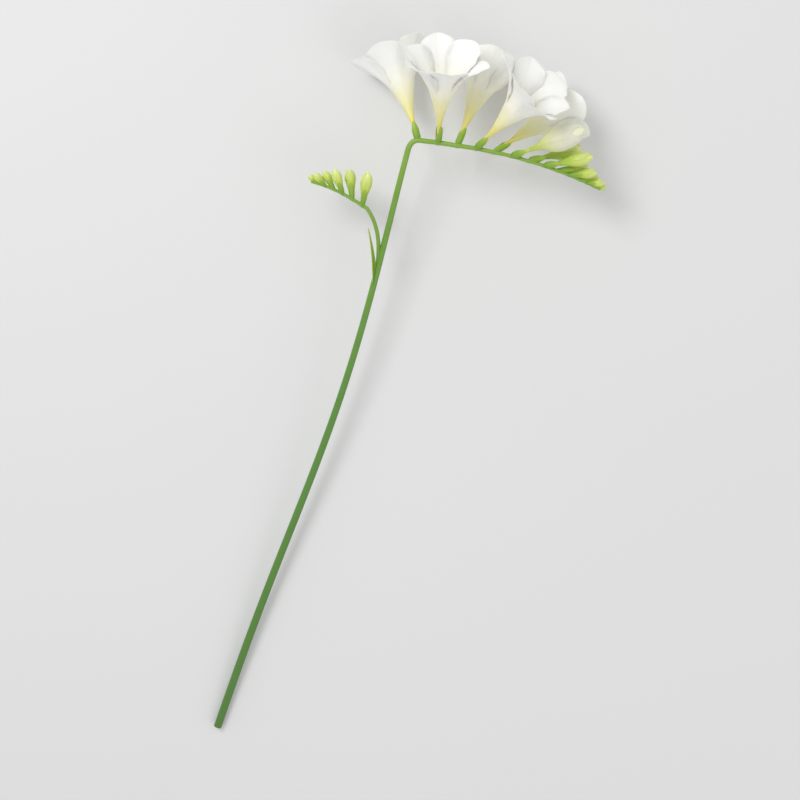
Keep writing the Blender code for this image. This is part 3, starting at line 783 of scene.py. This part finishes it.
def funnel_cage(size):
    """The tube and funnel, drawn up ring by ring from a closed foot to where the petals part."""
    heights = list(FOOT_RINGS)
    for i in range(1, FUNNEL_RINGS + 1):
        heights.append(mixed(FOOT_RINGS[-1], PETAL_ROOT, (i / FUNNEL_RINGS) ** FUNNEL_CROWDING))
    radii = [FOOT_POINT_RADIUS] + [wall_radius(height) for height in heights[1:]]
    bpy.ops.mesh.primitive_circle_add(
        vertices=PETAL_COUNT * PETAL_COLUMNS, radius=radii[0] * size, fill_type="TRIFAN", location=(0, 0, 0))
    piece = added("funnel")
    draw_up(piece, radii, heights, size)
    closed()
    whole = (PETAL_ROOT + PETAL_LENGTH) * size
    measured(piece, reach=lambda vert: vert.co.z / whole, side=lambda vert: sector_side(vert.co),
             free=lambda vert: 0.0, row=lambda vert: 0.0)
    return piece


def petal_line(length, size, tip_lean):
    """Radius, height and lean along the middle line of a petal."""
    line = []
    radius = wall_radius(PETAL_ROOT) * size
    height = PETAL_ROOT * size
    step = length / PETAL_LINE_STEPS
    for i in range(PETAL_LINE_STEPS + 1):
        lean = mixed(math.radians(PETAL_ROOT_LEAN), tip_lean, (i / PETAL_LINE_STEPS) ** PETAL_CURL)
        line.append((radius, height, lean))
        radius += step * math.sin(lean)
        height += step * math.cos(lean)
    return line


def along_line(line, part):
    spot = min(part, 1.0) * PETAL_LINE_STEPS
    first = min(int(spot), PETAL_LINE_STEPS - 1)
    return [mixed(low, high, spot - first) for low, high in zip(line[first], line[first + 1])]


def petal_lay(bloom, number, draw):
    """A function that lays a point of a petal, from how far along and across it is."""
    row = OUTER_PETAL if number % 2 == 0 else INNER_PETAL
    length = PETAL_LENGTH * bloom.size * row["length"] * draw.uniform(*LENGTH_DRAW)
    half_width = PETAL_HALF_WIDTH * bloom.size * row["width"] * draw.uniform(*WIDTH_DRAW)
    tip_lean = math.radians(bloom.spread + row["lean"] + draw.uniform(*LEAN_DRAW))
    wave = draw.uniform(0.0, 2.0 * math.pi)
    cup_radius = PETAL_CUP_RADIUS * draw.uniform(*CUP_DRAW)
    turn = Matrix.Rotation(number * 2.0 * math.pi / PETAL_COUNT, 4, "Z")
    line = petal_line(length, bloom.size, tip_lean)
    sector = wall_radius(PETAL_ROOT) * bloom.size * math.pi / PETAL_COUNT

    def lay(along, across):
        along *= 1.0 - PETAL_CORNER_CUT * abs(across) ** PETAL_CORNER_POWER
        radius, height, lean = along_line(line, along)
        radius += row["shift"] * smooth(along / PETAL_SHIFTED_BY)
        grown = mixed(PETAL_ROOT_WIDTH, 1.0, smooth(along / PETAL_WIDEST))
        past = max(along - PETAL_WIDEST, 0.0) / (1.0 - PETAL_WIDEST)
        width = half_width * grown * (1.0 - PETAL_TIP_NARROWING * past ** 2)
        width = mixed(sector, width, smooth(along / PETAL_WIDENED_BY))
        curve = mixed(radius, cup_radius, smooth(PETAL_CUP_PACE * along))
        bow = width * across / curve
        depth = curve * (1.0 - math.cos(bow))
        rolling = math.sin(PETAL_WAVE_ALONG * along + PETAL_WAVE_ACROSS * across + wave)
        depth += PETAL_WAVE * across ** 2 * along * rolling
        depth -= PETAL_FOLD * along * math.cos(PETAL_FOLD_WAVES * math.pi * across) * (1.0 - abs(across))
        turned_by = lean * smooth(along / PETAL_LEANS_BY)
        return turn @ Vector((
            radius - depth * math.cos(turned_by),
            curve * math.sin(bow),
            height + depth * math.sin(turned_by),
        ))

    return lay


def petal_cage(bloom, number, draw):
    """One petal, whose root is a sixth of the funnel's rim."""
    petal = sheet_of("petal", petal_lay(bloom, number, draw), PETAL_ROWS, PETAL_COLUMNS)
    tube = PETAL_ROOT / (PETAL_ROOT + PETAL_LENGTH)
    free = read(petal, "reach")
    measured(petal, free=lambda vert: free[vert.index], reach=lambda vert: mixed(tube, 1.0, free[vert.index]),
             row=lambda vert: 1.0 if number % 2 == 0 else -1.0)
    return petal


def softened(piece, draw):
    """Faint pleats along the petals, slow folds over them and a ruffle on their edges."""
    phase = draw.uniform(0.0, 2.0 * math.pi)
    free = read(piece, "free")
    side = read(piece, "side")
    normals = [vert.normal.copy() for vert in piece.data.vertices]
    for vert, normal in zip(piece.data.vertices, normals):
        part = free[vert.index]
        across = side[vert.index]
        angle = math.atan2(vert.co.y, vert.co.x)
        grown = smooth(RELIEF_PACE * part)
        drift = PLEAT_DRIFT * math.sin(PLEAT_DRIFT_ROUND * angle + phase)
        pleat = PLEAT_DEPTH * grown * math.cos(PLEAT_WAVES * across + drift) * (1.0 - across)
        fold = SLOW_FOLD * grown * math.sin(SLOW_FOLD_ROUND * angle + SLOW_FOLD_ALONG * part + phase)
        ruffle = EDGE_RUFFLE * across ** RUFFLE_EDGE_POWER * smooth(RUFFLE_PACE * part)
        ruffle *= math.sin(RUFFLE_ALONG * part + RUFFLE_ROUND * angle + phase)
        vert.co += normal * (pleat + fold + ruffle)


def pressed(piece, thickness):
    """Keeps a soft piece above the table, as a petal bends where it lies on it."""
    floor = 0.5 * thickness + TABLE_TOUCH
    for vert in piece.data.vertices:
        height = (vert.co.z - floor) / PRESS_BLEND
        if height < PRESS_REACH:
            vert.co.z = floor + PRESS_BLEND * math.log1p(math.exp(height))


def parted(piece):
    """Tucks the inner petals in where the outer ones lie over their edges, so that none cut."""
    mesh = piece.data
    row = read(piece, "row")
    free = read(piece, "free")
    beside = {i: [] for i, value in enumerate(row) if value < -ROW_SHARE}
    for edge in mesh.edges:
        first, second = edge.vertices
        if first in beside and second in beside:
            beside[first].append(second)
            beside[second].append(first)
    cover = [tuple(face.vertices) for face in mesh.polygons if min(row[i] for i in face.vertices) > ROW_SHARE]
    outer = BVHTree.FromPolygons([vert.co for vert in mesh.vertices], cover)
    for _ in range(PARTING_ROUNDS):
        push = {i: lacking(outer, mesh.vertices[i].co, free[i]) for i in beside}
        for _ in range(PARTING_SPREAD):
            push = {i: max([push[i]] + [PARTING_FALL * push[j] for j in beside[i]]) for i in beside}
        push = {i: (push[i] + sum(push[j] for j in beside[i])) / (1 + len(beside[i])) for i in beside}
        normals = [vert.normal.copy() for vert in mesh.vertices]
        for i, depth in push.items():
            mesh.vertices[i].co -= normals[i] * depth * smooth(free[i] / PARTED_BY)


def lacking(outer, spot, part):
    """How much further in a point of an inner petal has to be, if an outer petal lies squarely over it."""
    near, outwards, _, distance = outer.find_nearest(spot, PARTING_SEARCH)
    if near is None:
        return 0.0
    height = (spot - near).dot(outwards)
    if abs(height) < PARTING_SQUARE * distance:
        return 0.0
    return max(0.0, PARTING * smooth(part / PARTED_BY) + height)


def thinned(skin):
    """Keeps on a flower's skin how thick it is, which is less at the edges and tips of the petals."""
    thin = skin.vertex_groups.new(name="thickness")
    side = read(skin, "side")
    free = read(skin, "free")
    for vert in skin.data.vertices:
        edge = smooth((side[vert.index] - THIN_EDGE_FROM) / (1.0 - THIN_EDGE_FROM))
        edge *= smooth(THIN_EDGE_PACE * free[vert.index])
        tip = smooth((free[vert.index] - THIN_TIP_FROM) / (1.0 - THIN_TIP_FROM))
        thin.add([vert.index], 1.0 - EDGE_THINNING * max(edge, tip), "REPLACE")


def flower(number, bloom, outside, inside):
    """One open flower: the funnel and six petals as one skin, thinner towards its edges."""
    draw = random.Random(FLOWER_SEED + number)
    petals = [petal_cage(bloom, i, draw) for i in range(PETAL_COUNT)]
    skin = joined(f"bloom_{number}", [funnel_cage(bloom.size)] + petals)
    welded(skin, SKIN_WELD)
    faced_outwards(skin)
    tube = [face for face in skin.data.polygons if face.center.z < TUBE_LENGTH]
    if sum(face.normal.x * face.center.x + face.normal.y * face.center.y for face in tube) < 0.0:
        turned_round(skin)
    smoothed(skin, 2)
    softened(skin, draw)
    placed(skin, comb_place(bloom, TUBE_RADIUS, bloom.roll))
    pressed(skin, PETAL_THICKNESS)
    parted(skin)
    thinned(skin)
    coated([skin], outside, inside)
    modify(skin, "SOLIDIFY", thickness=PETAL_THICKNESS, offset=0.0, vertex_group="thickness",
           material_offset=1, material_offset_rim=0)
    dressed(skin, "petal_white", f"flower_{number}")


def anther(turn, floor):
    """A long pollen sac with a furrow down each side, from a cube stretched and rounded."""
    foot = Vector((ANTHER_FOOT[0], 0.0, floor + ANTHER_FOOT[1]))
    tip = Vector((ANTHER_TIP[0], 0.0, floor + ANTHER_TIP[1]))
    way = tip - foot
    bpy.ops.mesh.primitive_cube_add(size=1.0, scale=(ANTHER_WIDTH, ANTHER_WIDTH, way.length))
    piece = added("anther")
    bpy.ops.object.transform_apply(location=False, rotation=False, scale=True)
    opened_at(piece, lambda face: abs(face.normal.y) > FURROWED_FACING)
    bpy.ops.mesh.inset(thickness=FURROW_EDGE, depth=-FURROW_DEPTH)
    bpy.ops.mesh.select_all(action="SELECT")
    bpy.ops.mesh.subdivide(number_cuts=1)
    closed()
    smoothed(piece, 2)
    lean = way.to_track_quat("Z", "Y").to_matrix().to_4x4()
    placed(piece, turn @ Matrix.Translation(0.5 * (foot + tip)) @ lean)
    return piece


def threads(number, bloom, pollen, pale):
    """Three stamens round a style whose tip has three arms, in the middle of a flower."""
    floor = FUNNEL_FLOOR * FUNNEL_LENGTH * bloom.size + THREAD_CLEARANCE
    top = floor + STYLE_HEIGHT
    parts = [i / STYLE_STEPS for i in range(STYLE_STEPS + 1)]
    style = [(0.0, 0.0, mixed(floor - STYLE_FOOT_DROP, top, part)) for part in parts]
    radii = [mixed(STYLE_FOOT_RADIUS, THREAD_RADIUS, part) for part in parts]
    pieces = [rod("style", style, radii, STYLE_SIDES)]
    anthers = []
    for i in range(THREAD_COUNT):
        turn = Matrix.Rotation(math.radians(360.0 / THREAD_COUNT * i), 4, "Z")
        arm = [turn @ Vector((out, 0.0, top + up)) for out, up in STYLE_ARM]
        pieces.append(rod("arm", arm, STYLE_ARM_RADII, THREAD_SIDES))
        between = Matrix.Rotation(math.radians(360.0 / THREAD_COUNT * (i + 0.5)), 4, "Z")
        filament = [between @ Vector((out, 0.0, floor + up)) for out, up in FILAMENT]
        pieces.append(rod("filament", filament, [THREAD_RADIUS] * len(filament), THREAD_SIDES))
        anthers.append(anther(between, floor))
    made = joined(f"threads_{number}", coated(pieces, pale) + coated(anthers, pollen))
    placed(made, comb_place(bloom, TUBE_RADIUS, bloom.roll))
    dressed(made, "stamen_cream", f"stamens_{number}")


def bud_neck(bud):
    return min(BUD_NECK * bud.radius, TUBE_RADIUS)


def bud_profile(bud):
    """The outline of a bud as smooth rings of (radius, share of the length)."""
    knots = [(bud_neck(bud) * wide, part) for wide, part in BUD_FOOT]
    knots += [(bud.radius * wide, part) for wide, part in BUD_SWELLING]
    return knots


def knots_at(knots, part):
    """The radius of a bud at a share of its length, on a smooth line through its knots."""
    part = min(max(part, 0.0), 1.0)
    last = len(knots) - 1
    for i in range(last):
        if part <= knots[i + 1][1] or i == last - 1:
            break
    (r1, p1), (r2, p2) = knots[i], knots[i + 1]
    r0, p0 = knots[i - 1] if i > 0 else (r1, p1 - (p2 - p1))
    r3, p3 = knots[i + 2] if i + 2 <= last else (-r1, 2.0 * p2 - p1)
    t = (part - p1) / (p2 - p1)
    m1 = (r2 - r0) / (p2 - p0) * (p2 - p1)
    m2 = (r3 - r1) / (p3 - p1) * (p2 - p1)
    return max(0.0, r1 * (2 * t ** 3 - 3 * t ** 2 + 1) + m1 * (t ** 3 - 2 * t ** 2 + t)
               + r2 * (3 * t ** 2 - 2 * t ** 3) + m2 * (t ** 3 - t ** 2))


def bud_rib(part, turn):
    """How much fuller a bud is over its three faint ribs."""
    return 1.0 + BUD_RIB * part * math.cos(BUD_RIBS * turn)


def bud_bow(bud, part):
    """How far a bud has bowed to one side at a share of its length."""
    return BUD_BEND * bud.length * part * part


def bud_skin_point(bud, knots, part, turn, lift):
    """A point above the skin of a bud."""
    radius = knots_at(knots, part) * bud_rib(part, turn) + lift
    return Vector((
        radius * math.cos(turn),
        radius * math.sin(turn) - bud_bow(bud, part),
        part * bud.length,
    ))


def bud_core(bud, knots):
    """The inner body of a bud, drawn up ring by ring."""
    parts = [i / BUD_RINGS for i in range(BUD_RINGS)] + list(BUD_TIP_RINGS)
    radii = [max(knots_at(knots, part), BUD_POINT_RADIUS) for part in parts]
    bpy.ops.mesh.primitive_circle_add(vertices=BUD_SIDES, radius=radii[0], fill_type="TRIFAN")
    piece = added("core")
    draw_up(piece, radii, parts, bud.length)
    bpy.ops.mesh.fill()
    closed()
    for vert in piece.data.vertices:
        part = vert.co.z / bud.length
        rib = bud_rib(part, math.atan2(vert.co.y, vert.co.x))
        vert.co.x *= rib
        vert.co.y = vert.co.y * rib - bud_bow(bud, part)
    measured(piece, reach=lambda vert: vert.co.z / bud.length, side=lambda vert: BUD_CORE_SIDE)
    smoothed(piece, 1)
    return piece


def turned_from_axis(piece, bud):
    """Turns an open sheet round if it faces the axis of its bud."""
    facing = 0.0
    for face in piece.data.polygons:
        bow = bud_bow(bud, face.center.z / bud.length)
        facing += face.normal.x * face.center.x + face.normal.y * (face.center.y + bow)
    if facing < 0.0:
        turned_round(piece)


def bud_tepals(bud, knots):
    """The tepals wrapped round a bud, each with one edge over the next."""
    pieces = []
    for i in range(TEPAL_COUNT):
        middle = i * 2.0 * math.pi / TEPAL_COUNT

        def lay(along, across):
            part = mixed(TEPAL_FROM, TEPAL_TO - TEPAL_POINT * across ** 2, along)
            narrow = 1.0 - TEPAL_NARROWING * smooth((along - TEPAL_NARROWS_FROM) / TEPAL_NARROWS_OVER)
            turn = middle + TEPAL_WRAP * narrow * across + TEPAL_TWIST * along
            rise = TEPAL_LAP * (1.0 + across) * smooth(TEPAL_LAP_PACE * along) + 0.5 * TEPAL_THICKNESS
            sunk = TEPAL_ROOT_DROP * (1.0 - smooth(TEPAL_ROOT_PACE * along))
            return bud_skin_point(bud, knots, part, turn, rise - sunk)

        tepal = sheet_of("tepal", lay, TEPAL_ROWS, TEPAL_COLUMNS)
        start = read(tepal, "reach")
        measured(tepal, reach=lambda vert: mixed(TEPAL_FROM, 1.0, start[vert.index]))
        turned_from_axis(tepal, bud)
        modify(tepal, "SOLIDIFY", thickness=TEPAL_THICKNESS, offset=0.0)
        smoothed(tepal, 1)
        pieces.append(tepal)
    return pieces


def large_bud(number, bud, finish, slot):
    """A large bud, free in its bracts."""
    knots = bud_profile(bud)
    pieces = [bud_core(bud, knots)] + bud_tepals(bud, knots)
    made = joined(f"closed_bloom_{number}", coated(pieces, finish))
    placed(made, comb_place(bud, bud_neck(bud), 0.0))
    dressed(made, slot, f"bud_{number}")


def bracts(name, spot, foot, size, roll, finish):
    """The two bracts that clasp the foot of a flower or large bud, the outer lapped over the inner."""
    pieces = []
    for row in (OUTER_BRACT, INNER_BRACT):
        turn = Matrix.Rotation(row["side"], 4, "Z")
        clear = foot + BRACT_CLEARANCE + 0.5 * BRACT_THICKNESS + row["above"]

        def lay(along, across):
            radius = clear * mixed(BRACT_ROOT, 1.0, smooth(along / BRACT_OPEN_BY))
            radius += BRACT_FLARE * along ** 2 + BRACT_KEEL * (1.0 - abs(across)) * math.sin(math.pi * along)
            wrap = row["wrap"] * (1.0 - BRACT_NARROWING * along ** 3) * across
            height = BRACT_LENGTH * size * row["size"] * along * (1.0 - BRACT_POINT * across ** 2)
            return turn @ Vector((radius * math.cos(wrap), radius * math.sin(wrap), height))

        blade = sheet_of("bract", lay, BRACT_ROWS, BRACT_COLUMNS)
        modify(blade, "SOLIDIFY", thickness=BRACT_THICKNESS, offset=0.0)
        smoothed(blade, 1)
        placed(blade, stand(comb_point(spot.along), aim(spot), roll))
        pieces.append(blade)
    dressed(joined(name, coated(pieces, finish)), "stem_green")


def green_bud(name, bud, point, lime, green):
    """A small bud, whose lower half is hidden by its two bracts."""
    knots = bud_profile(bud)
    pieces = coated([bud_core(bud, knots)] + bud_tepals(bud, knots), lime)
    blades = []
    for side in (0.5 * math.pi, -0.5 * math.pi):
        def lay(along, across):
            height = SMALL_BRACT_SHARE * bud.length * along * (1.0 - SMALL_BRACT_POINT * across ** 2)
            part = height / bud.length
            hug = knots_at(knots, part) * SMALL_BRACT_SWELL
            hug += (SMALL_BRACT_GAPS + SMALL_BRACT_OPENING * along) * GAP
            hug = max(hug, bud.radius * SMALL_BRACT_ROOT)
            wrap = SMALL_BRACT_WRAP * (1.0 - SMALL_BRACT_NARROWING * along ** 3) * across + side
            spot = Vector((hug * math.cos(wrap), hug * math.sin(wrap), height))
            spot.y -= bud_bow(bud, part)
            return spot

        blade = sheet_of("bract", lay, BRACT_ROWS, BRACT_COLUMNS)
        modify(blade, "SOLIDIFY", thickness=SMALL_BRACT_THICKNESS, offset=0.0)
        blades.append(blade)
    made = joined(name, pieces + coated(blades, green))
    placed(made, stand(point, aim(bud), 0.0))
    dressed(made, "stem_green")


def group_start(name, inputs, outputs):
    """A node group with number sockets of these names, and its two ends."""
    group = bpy.data.node_groups.new(name, "ShaderNodeTree")
    for label in inputs:
        group.interface.new_socket(label, in_out="INPUT", socket_type="NodeSocketFloat")
    for label in outputs:
        group.interface.new_socket(label, in_out="OUTPUT", socket_type="NodeSocketFloat")
    return group, group.nodes.new("NodeGroupInput").outputs, group.nodes.new("NodeGroupOutput").inputs


def calc(tree, operation, *values):
    """A Math node whose inputs are numbers or sockets."""
    made = tree.nodes.new("ShaderNodeMath")
    made.operation = operation
    for i, value in enumerate(values):
        if isinstance(value, (int, float)):
            made.inputs[i].default_value = value
        else:
            tree.links.new(value, made.inputs[i])
    return made.outputs[0]


def fed(node, tree, **values):
    """Sets or links a node's named inputs, where an underscore stands for a space."""
    for name, value in values.items():
        socket = node.inputs[name.replace("_", " ")]
        if hasattr(value, "is_output"):
            tree.links.new(value, socket)
        else:
            socket.default_value = value
    return node


def texture(tree, kind, **values):
    """The first output of a texture node."""
    return fed(tree.nodes.new(kind), tree, **values).outputs[0]


def vein_group():
    """Fine lengthwise veins that gather at the root: lines over the width, broken by a slow noise."""
    group, entry, end = group_start("lengthwise_veins", ("Side", "Reach", "Count", "Wander"), ("Mask",))
    place = group.nodes.new("ShaderNodeCombineXYZ")
    group.links.new(calc(group, "MULTIPLY", entry["Side"], VEIN_DRIFT_ACROSS), place.inputs[0])
    group.links.new(calc(group, "MULTIPLY", entry["Reach"], VEIN_DRIFT_ALONG), place.inputs[1])
    drift = texture(
        group, "ShaderNodeTexNoise", Vector=place.outputs[0], Scale=VEIN_DRIFT_SCALE, Detail=FINE_DETAIL)
    moved = calc(group, "MULTIPLY", calc(group, "SUBTRACT", drift, 0.5), entry["Wander"])
    lines = calc(group, "MULTIPLY", calc(group, "ADD", entry["Side"], moved), entry["Count"])
    ridge = calc(group, "COSINE", calc(group, "MULTIPLY", lines, 2.0 * math.pi))
    narrow = calc(group, "POWER", calc(group, "MULTIPLY_ADD", ridge, 0.5, 0.5), VEIN_SHARPNESS)
    group.links.new(narrow, end["Mask"])
    return group


def mottle_group():
    """Slow changes of tone and a fine grain over a surface, each round a middle of 0."""
    group, entry, end = group_start("plant_mottle", ("Scale", "Fine"), ("Slow", "Grain"))
    place = group.nodes.new("ShaderNodeTexCoord").outputs["Object"]
    slow = texture(group, "ShaderNodeTexNoise", Vector=place, Scale=entry["Scale"], Detail=SLOW_DETAIL)
    fine = texture(group, "ShaderNodeTexNoise", Vector=place, Scale=entry["Fine"], Detail=FINE_DETAIL)
    group.links.new(calc(group, "SUBTRACT", slow, 0.5), end["Slow"])
    group.links.new(calc(group, "SUBTRACT", fine, 0.5), end["Grain"])
    return group


def grouped(tree, group, **values):
    """The outputs of a shared node group placed in a material."""
    made = tree.nodes.new("ShaderNodeGroup")
    made.node_tree = group
    return fed(made, tree, **values).outputs


def attribute(tree, name):
    made = tree.nodes.new("ShaderNodeAttribute")
    made.attribute_name = name
    return made.outputs["Fac"]


def ramp(tree, value, stops):
    """A colour that changes with a number, through stops of (number, colour)."""
    made = tree.nodes.new("ShaderNodeValToRGB")
    tree.links.new(value, made.inputs[0])
    marks = made.color_ramp.elements
    while len(marks) < len(stops):
        marks.new(0.5)
    for mark, (spot, colour) in zip(marks, stops):
        mark.position = spot
        mark.color = (*colour, 1.0)
    return made.outputs[0]


def towards(tree, share, start, colour):
    """A colour that moves from a start towards another by a share."""
    made = tree.nodes.new("ShaderNodeMix")
    made.data_type = "RGBA"
    tree.links.new(share, made.inputs[0])
    tree.links.new(start, made.inputs[6])
    made.inputs[7].default_value = (*colour, 1.0)
    return made.outputs[2]


def new_material(name):
    made = bpy.data.materials.new(name)
    made.use_nodes = True
    return made, made.node_tree, made.node_tree.nodes["Principled BSDF"]


def plant_material(name, skin, shared_veins, shared_mottle):
    """A plant skin: a colour that changes along it, veins, paler edges, mottling and a fine relief."""
    made, tree, shader = new_material(name)
    reach = attribute(tree, "reach")
    side = attribute(tree, "side")
    mottle = grouped(tree, shared_mottle, Scale=skin.mottle, Fine=skin.mottle * GRAIN_FINER_BY)
    veins = grouped(
        tree, shared_veins, Side=side, Reach=reach, Count=skin.veins.count, Wander=VEIN_WANDER)["Mask"]
    colour = ramp(tree, calc(tree, "MULTIPLY_ADD", mottle["Slow"], COLOUR_DRIFT, reach), skin.stops)
    colour = towards(tree, calc(tree, "MULTIPLY", veins, skin.veins.share), colour, skin.veins.colour)
    if skin.edge:
        rim = calc(tree, "POWER", side, EDGE_POWER)
        colour = towards(tree, calc(tree, "MULTIPLY", rim, EDGE_SHARE), colour, skin.edge)
    shade = calc(tree, "MULTIPLY_ADD", mottle["Slow"], TONE_DRIFT, 1.0)
    bright = fed(tree.nodes.new("ShaderNodeHueSaturation"), tree, Color=colour, Value=shade)
    rough = calc(tree, "MULTIPLY_ADD", mottle["Grain"], ROUGH_DRIFT, skin.rough)
    height = calc(tree, "ADD", calc(tree, "MULTIPLY", veins, RELIEF_SHARE),
                  calc(tree, "MULTIPLY", mottle["Grain"], 1.0 - RELIEF_SHARE))
    bump = fed(tree.nodes.new("ShaderNodeBump"), tree, Strength=RELIEF_STRENGTH, Distance=skin.relief,
               Height=height)
    fed(shader, tree, Base_Color=bright.outputs[0], Roughness=rough, Normal=bump.outputs[0],
        Subsurface_Weight=skin.soft, Subsurface_Radius=LIGHT_PASSES, Subsurface_Scale=LIGHT_REACH)
    return made


def cut_material():
    """The cut face of the stem: pale pith in cells with darker middles."""
    made, tree, shader = new_material("cut_face")
    place = tree.nodes.new("ShaderNodeTexCoord").outputs["Object"]
    cells = texture(tree, "ShaderNodeTexVoronoi", Vector=place, Scale=CUT_CELLS)
    fed(shader, tree, Base_Color=ramp(tree, cells, CUT_STOPS), Roughness=CUT_ROUGH)
    return made


def pale_table(shared_mottle):
    """The table that the stem lies on."""
    deselect()
    bpy.ops.mesh.primitive_plane_add(size=TABLE_SIZE)
    table = added("table")
    made, tree, shader = new_material("pale_table")
    mottle = grouped(tree, shared_mottle, Scale=TABLE_MOTTLE, Fine=TABLE_GRAIN)
    tone = calc(tree, "MULTIPLY_ADD", mottle["Slow"], TABLE_TONE_DRIFT, TABLE_TONE)
    grey = fed(tree.nodes.new("ShaderNodeCombineColor"), tree, Red=tone, Green=tone, Blue=tone)
    fed(shader, tree, Base_Color=grey.outputs[0], Roughness=TABLE_ROUGH)
    coated([table], made)


def soft_light():
    """An even pale room with a soft key light and a weaker fill light."""
    world = bpy.data.worlds.new("soft_room")
    bpy.context.scene.world = world
    world.use_nodes = True
    fed(world.node_tree.nodes["Background"], world.node_tree, Color=WHITE, Strength=ROOM_LIGHT)
    for name, lamp in LAMPS.items():
        bpy.ops.object.light_add(type="AREA", location=lamp["spot"])
        light = bpy.context.object
        light.name = name
        light.data.shape = "DISK"
        light.data.size = lamp["size"]
        light.data.energy = lamp["power"]
        light.rotation_euler = (LIT_SPOT - lamp["spot"]).to_track_quat("-Z", "Y").to_euler()


def camera_over_stem():
    """A camera that looks down on the stem, far enough back for the solids to fill its view."""
    roll = math.radians(CAMERA_ROLL)
    rise = math.radians(CAMERA_RISE)
    across = Vector((math.cos(roll), -math.sin(roll), 0.0))
    upward = Vector((math.sin(roll), math.cos(roll), 0.0))
    back = (Vector((0.0, 0.0, 1.0)) * math.sin(rise) - upward * math.cos(rise)).normalized()
    up = back.cross(across).normalized()
    spots = [vert.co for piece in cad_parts.values() for vert in piece.data.vertices]
    centre = Vector()
    for way in (across, up, back):
        reaches = [spot.dot(way) for spot in spots]
        centre += 0.5 * (min(reaches) + max(reaches)) * way
    bpy.ops.object.camera_add()
    camera = bpy.context.object
    camera.name = "camera"
    camera.data.lens = CAMERA_LENS
    half_view = math.atan(0.5 * camera.data.sensor_width / CAMERA_LENS)
    distance = 0.0
    for spot in spots:
        offset = spot - centre
        side = max(abs(offset.dot(across)), abs(offset.dot(up))) / CAMERA_FILL
        distance = max(distance, side / math.tan(half_view) + offset.dot(back))
    turn = Matrix((across, up, back)).transposed().to_4x4()
    camera.matrix_world = Matrix.Translation(centre + back * distance) @ turn
    bpy.context.scene.camera = camera
    bpy.context.scene.view_settings.view_transform = "Standard"


VEINS = vein_group()
MOTTLE = mottle_group()
finish = {name: plant_material(name, skin, VEINS, MOTTLE) for name, skin in SKINS.items()}

green_stem(finish["stem_green"], cut_material())
leaf(finish["bract_green"])
for number, bloom in enumerate(BLOOMS, 1):
    flower(number, bloom, finish["petal_outside"], finish["petal_inside"])
    threads(number, bloom, finish["pollen_cream"], finish["thread_pale"])
    bracts(f"bracts_{number}", bloom, TUBE_RADIUS, 1.0, bloom.roll, finish["bract_green"])
for number, bud in enumerate(LARGE_BUDS, 1):
    tint = "cream" if number == 1 else "lime"
    large_bud(number, bud, finish[f"{tint}_bud"], f"bud_{tint}")
    bracts(f"bud_bracts_{number}", bud, bud_neck(bud), BUD_BRACT_SIZE, 0.0, finish["bract_green"])
for name, buds, point in (("tip_bud", SMALL_BUDS, comb_point), ("shoot_bud", SHOOT_BUDS, shoot_point)):
    for number, bud in enumerate(buds, 1):
        green_bud(f"{name}_{number}", bud, point(bud.along), finish["lime_bud"], finish["bract_green"])
pale_table(MOTTLE)
soft_light()
camera_over_stem()
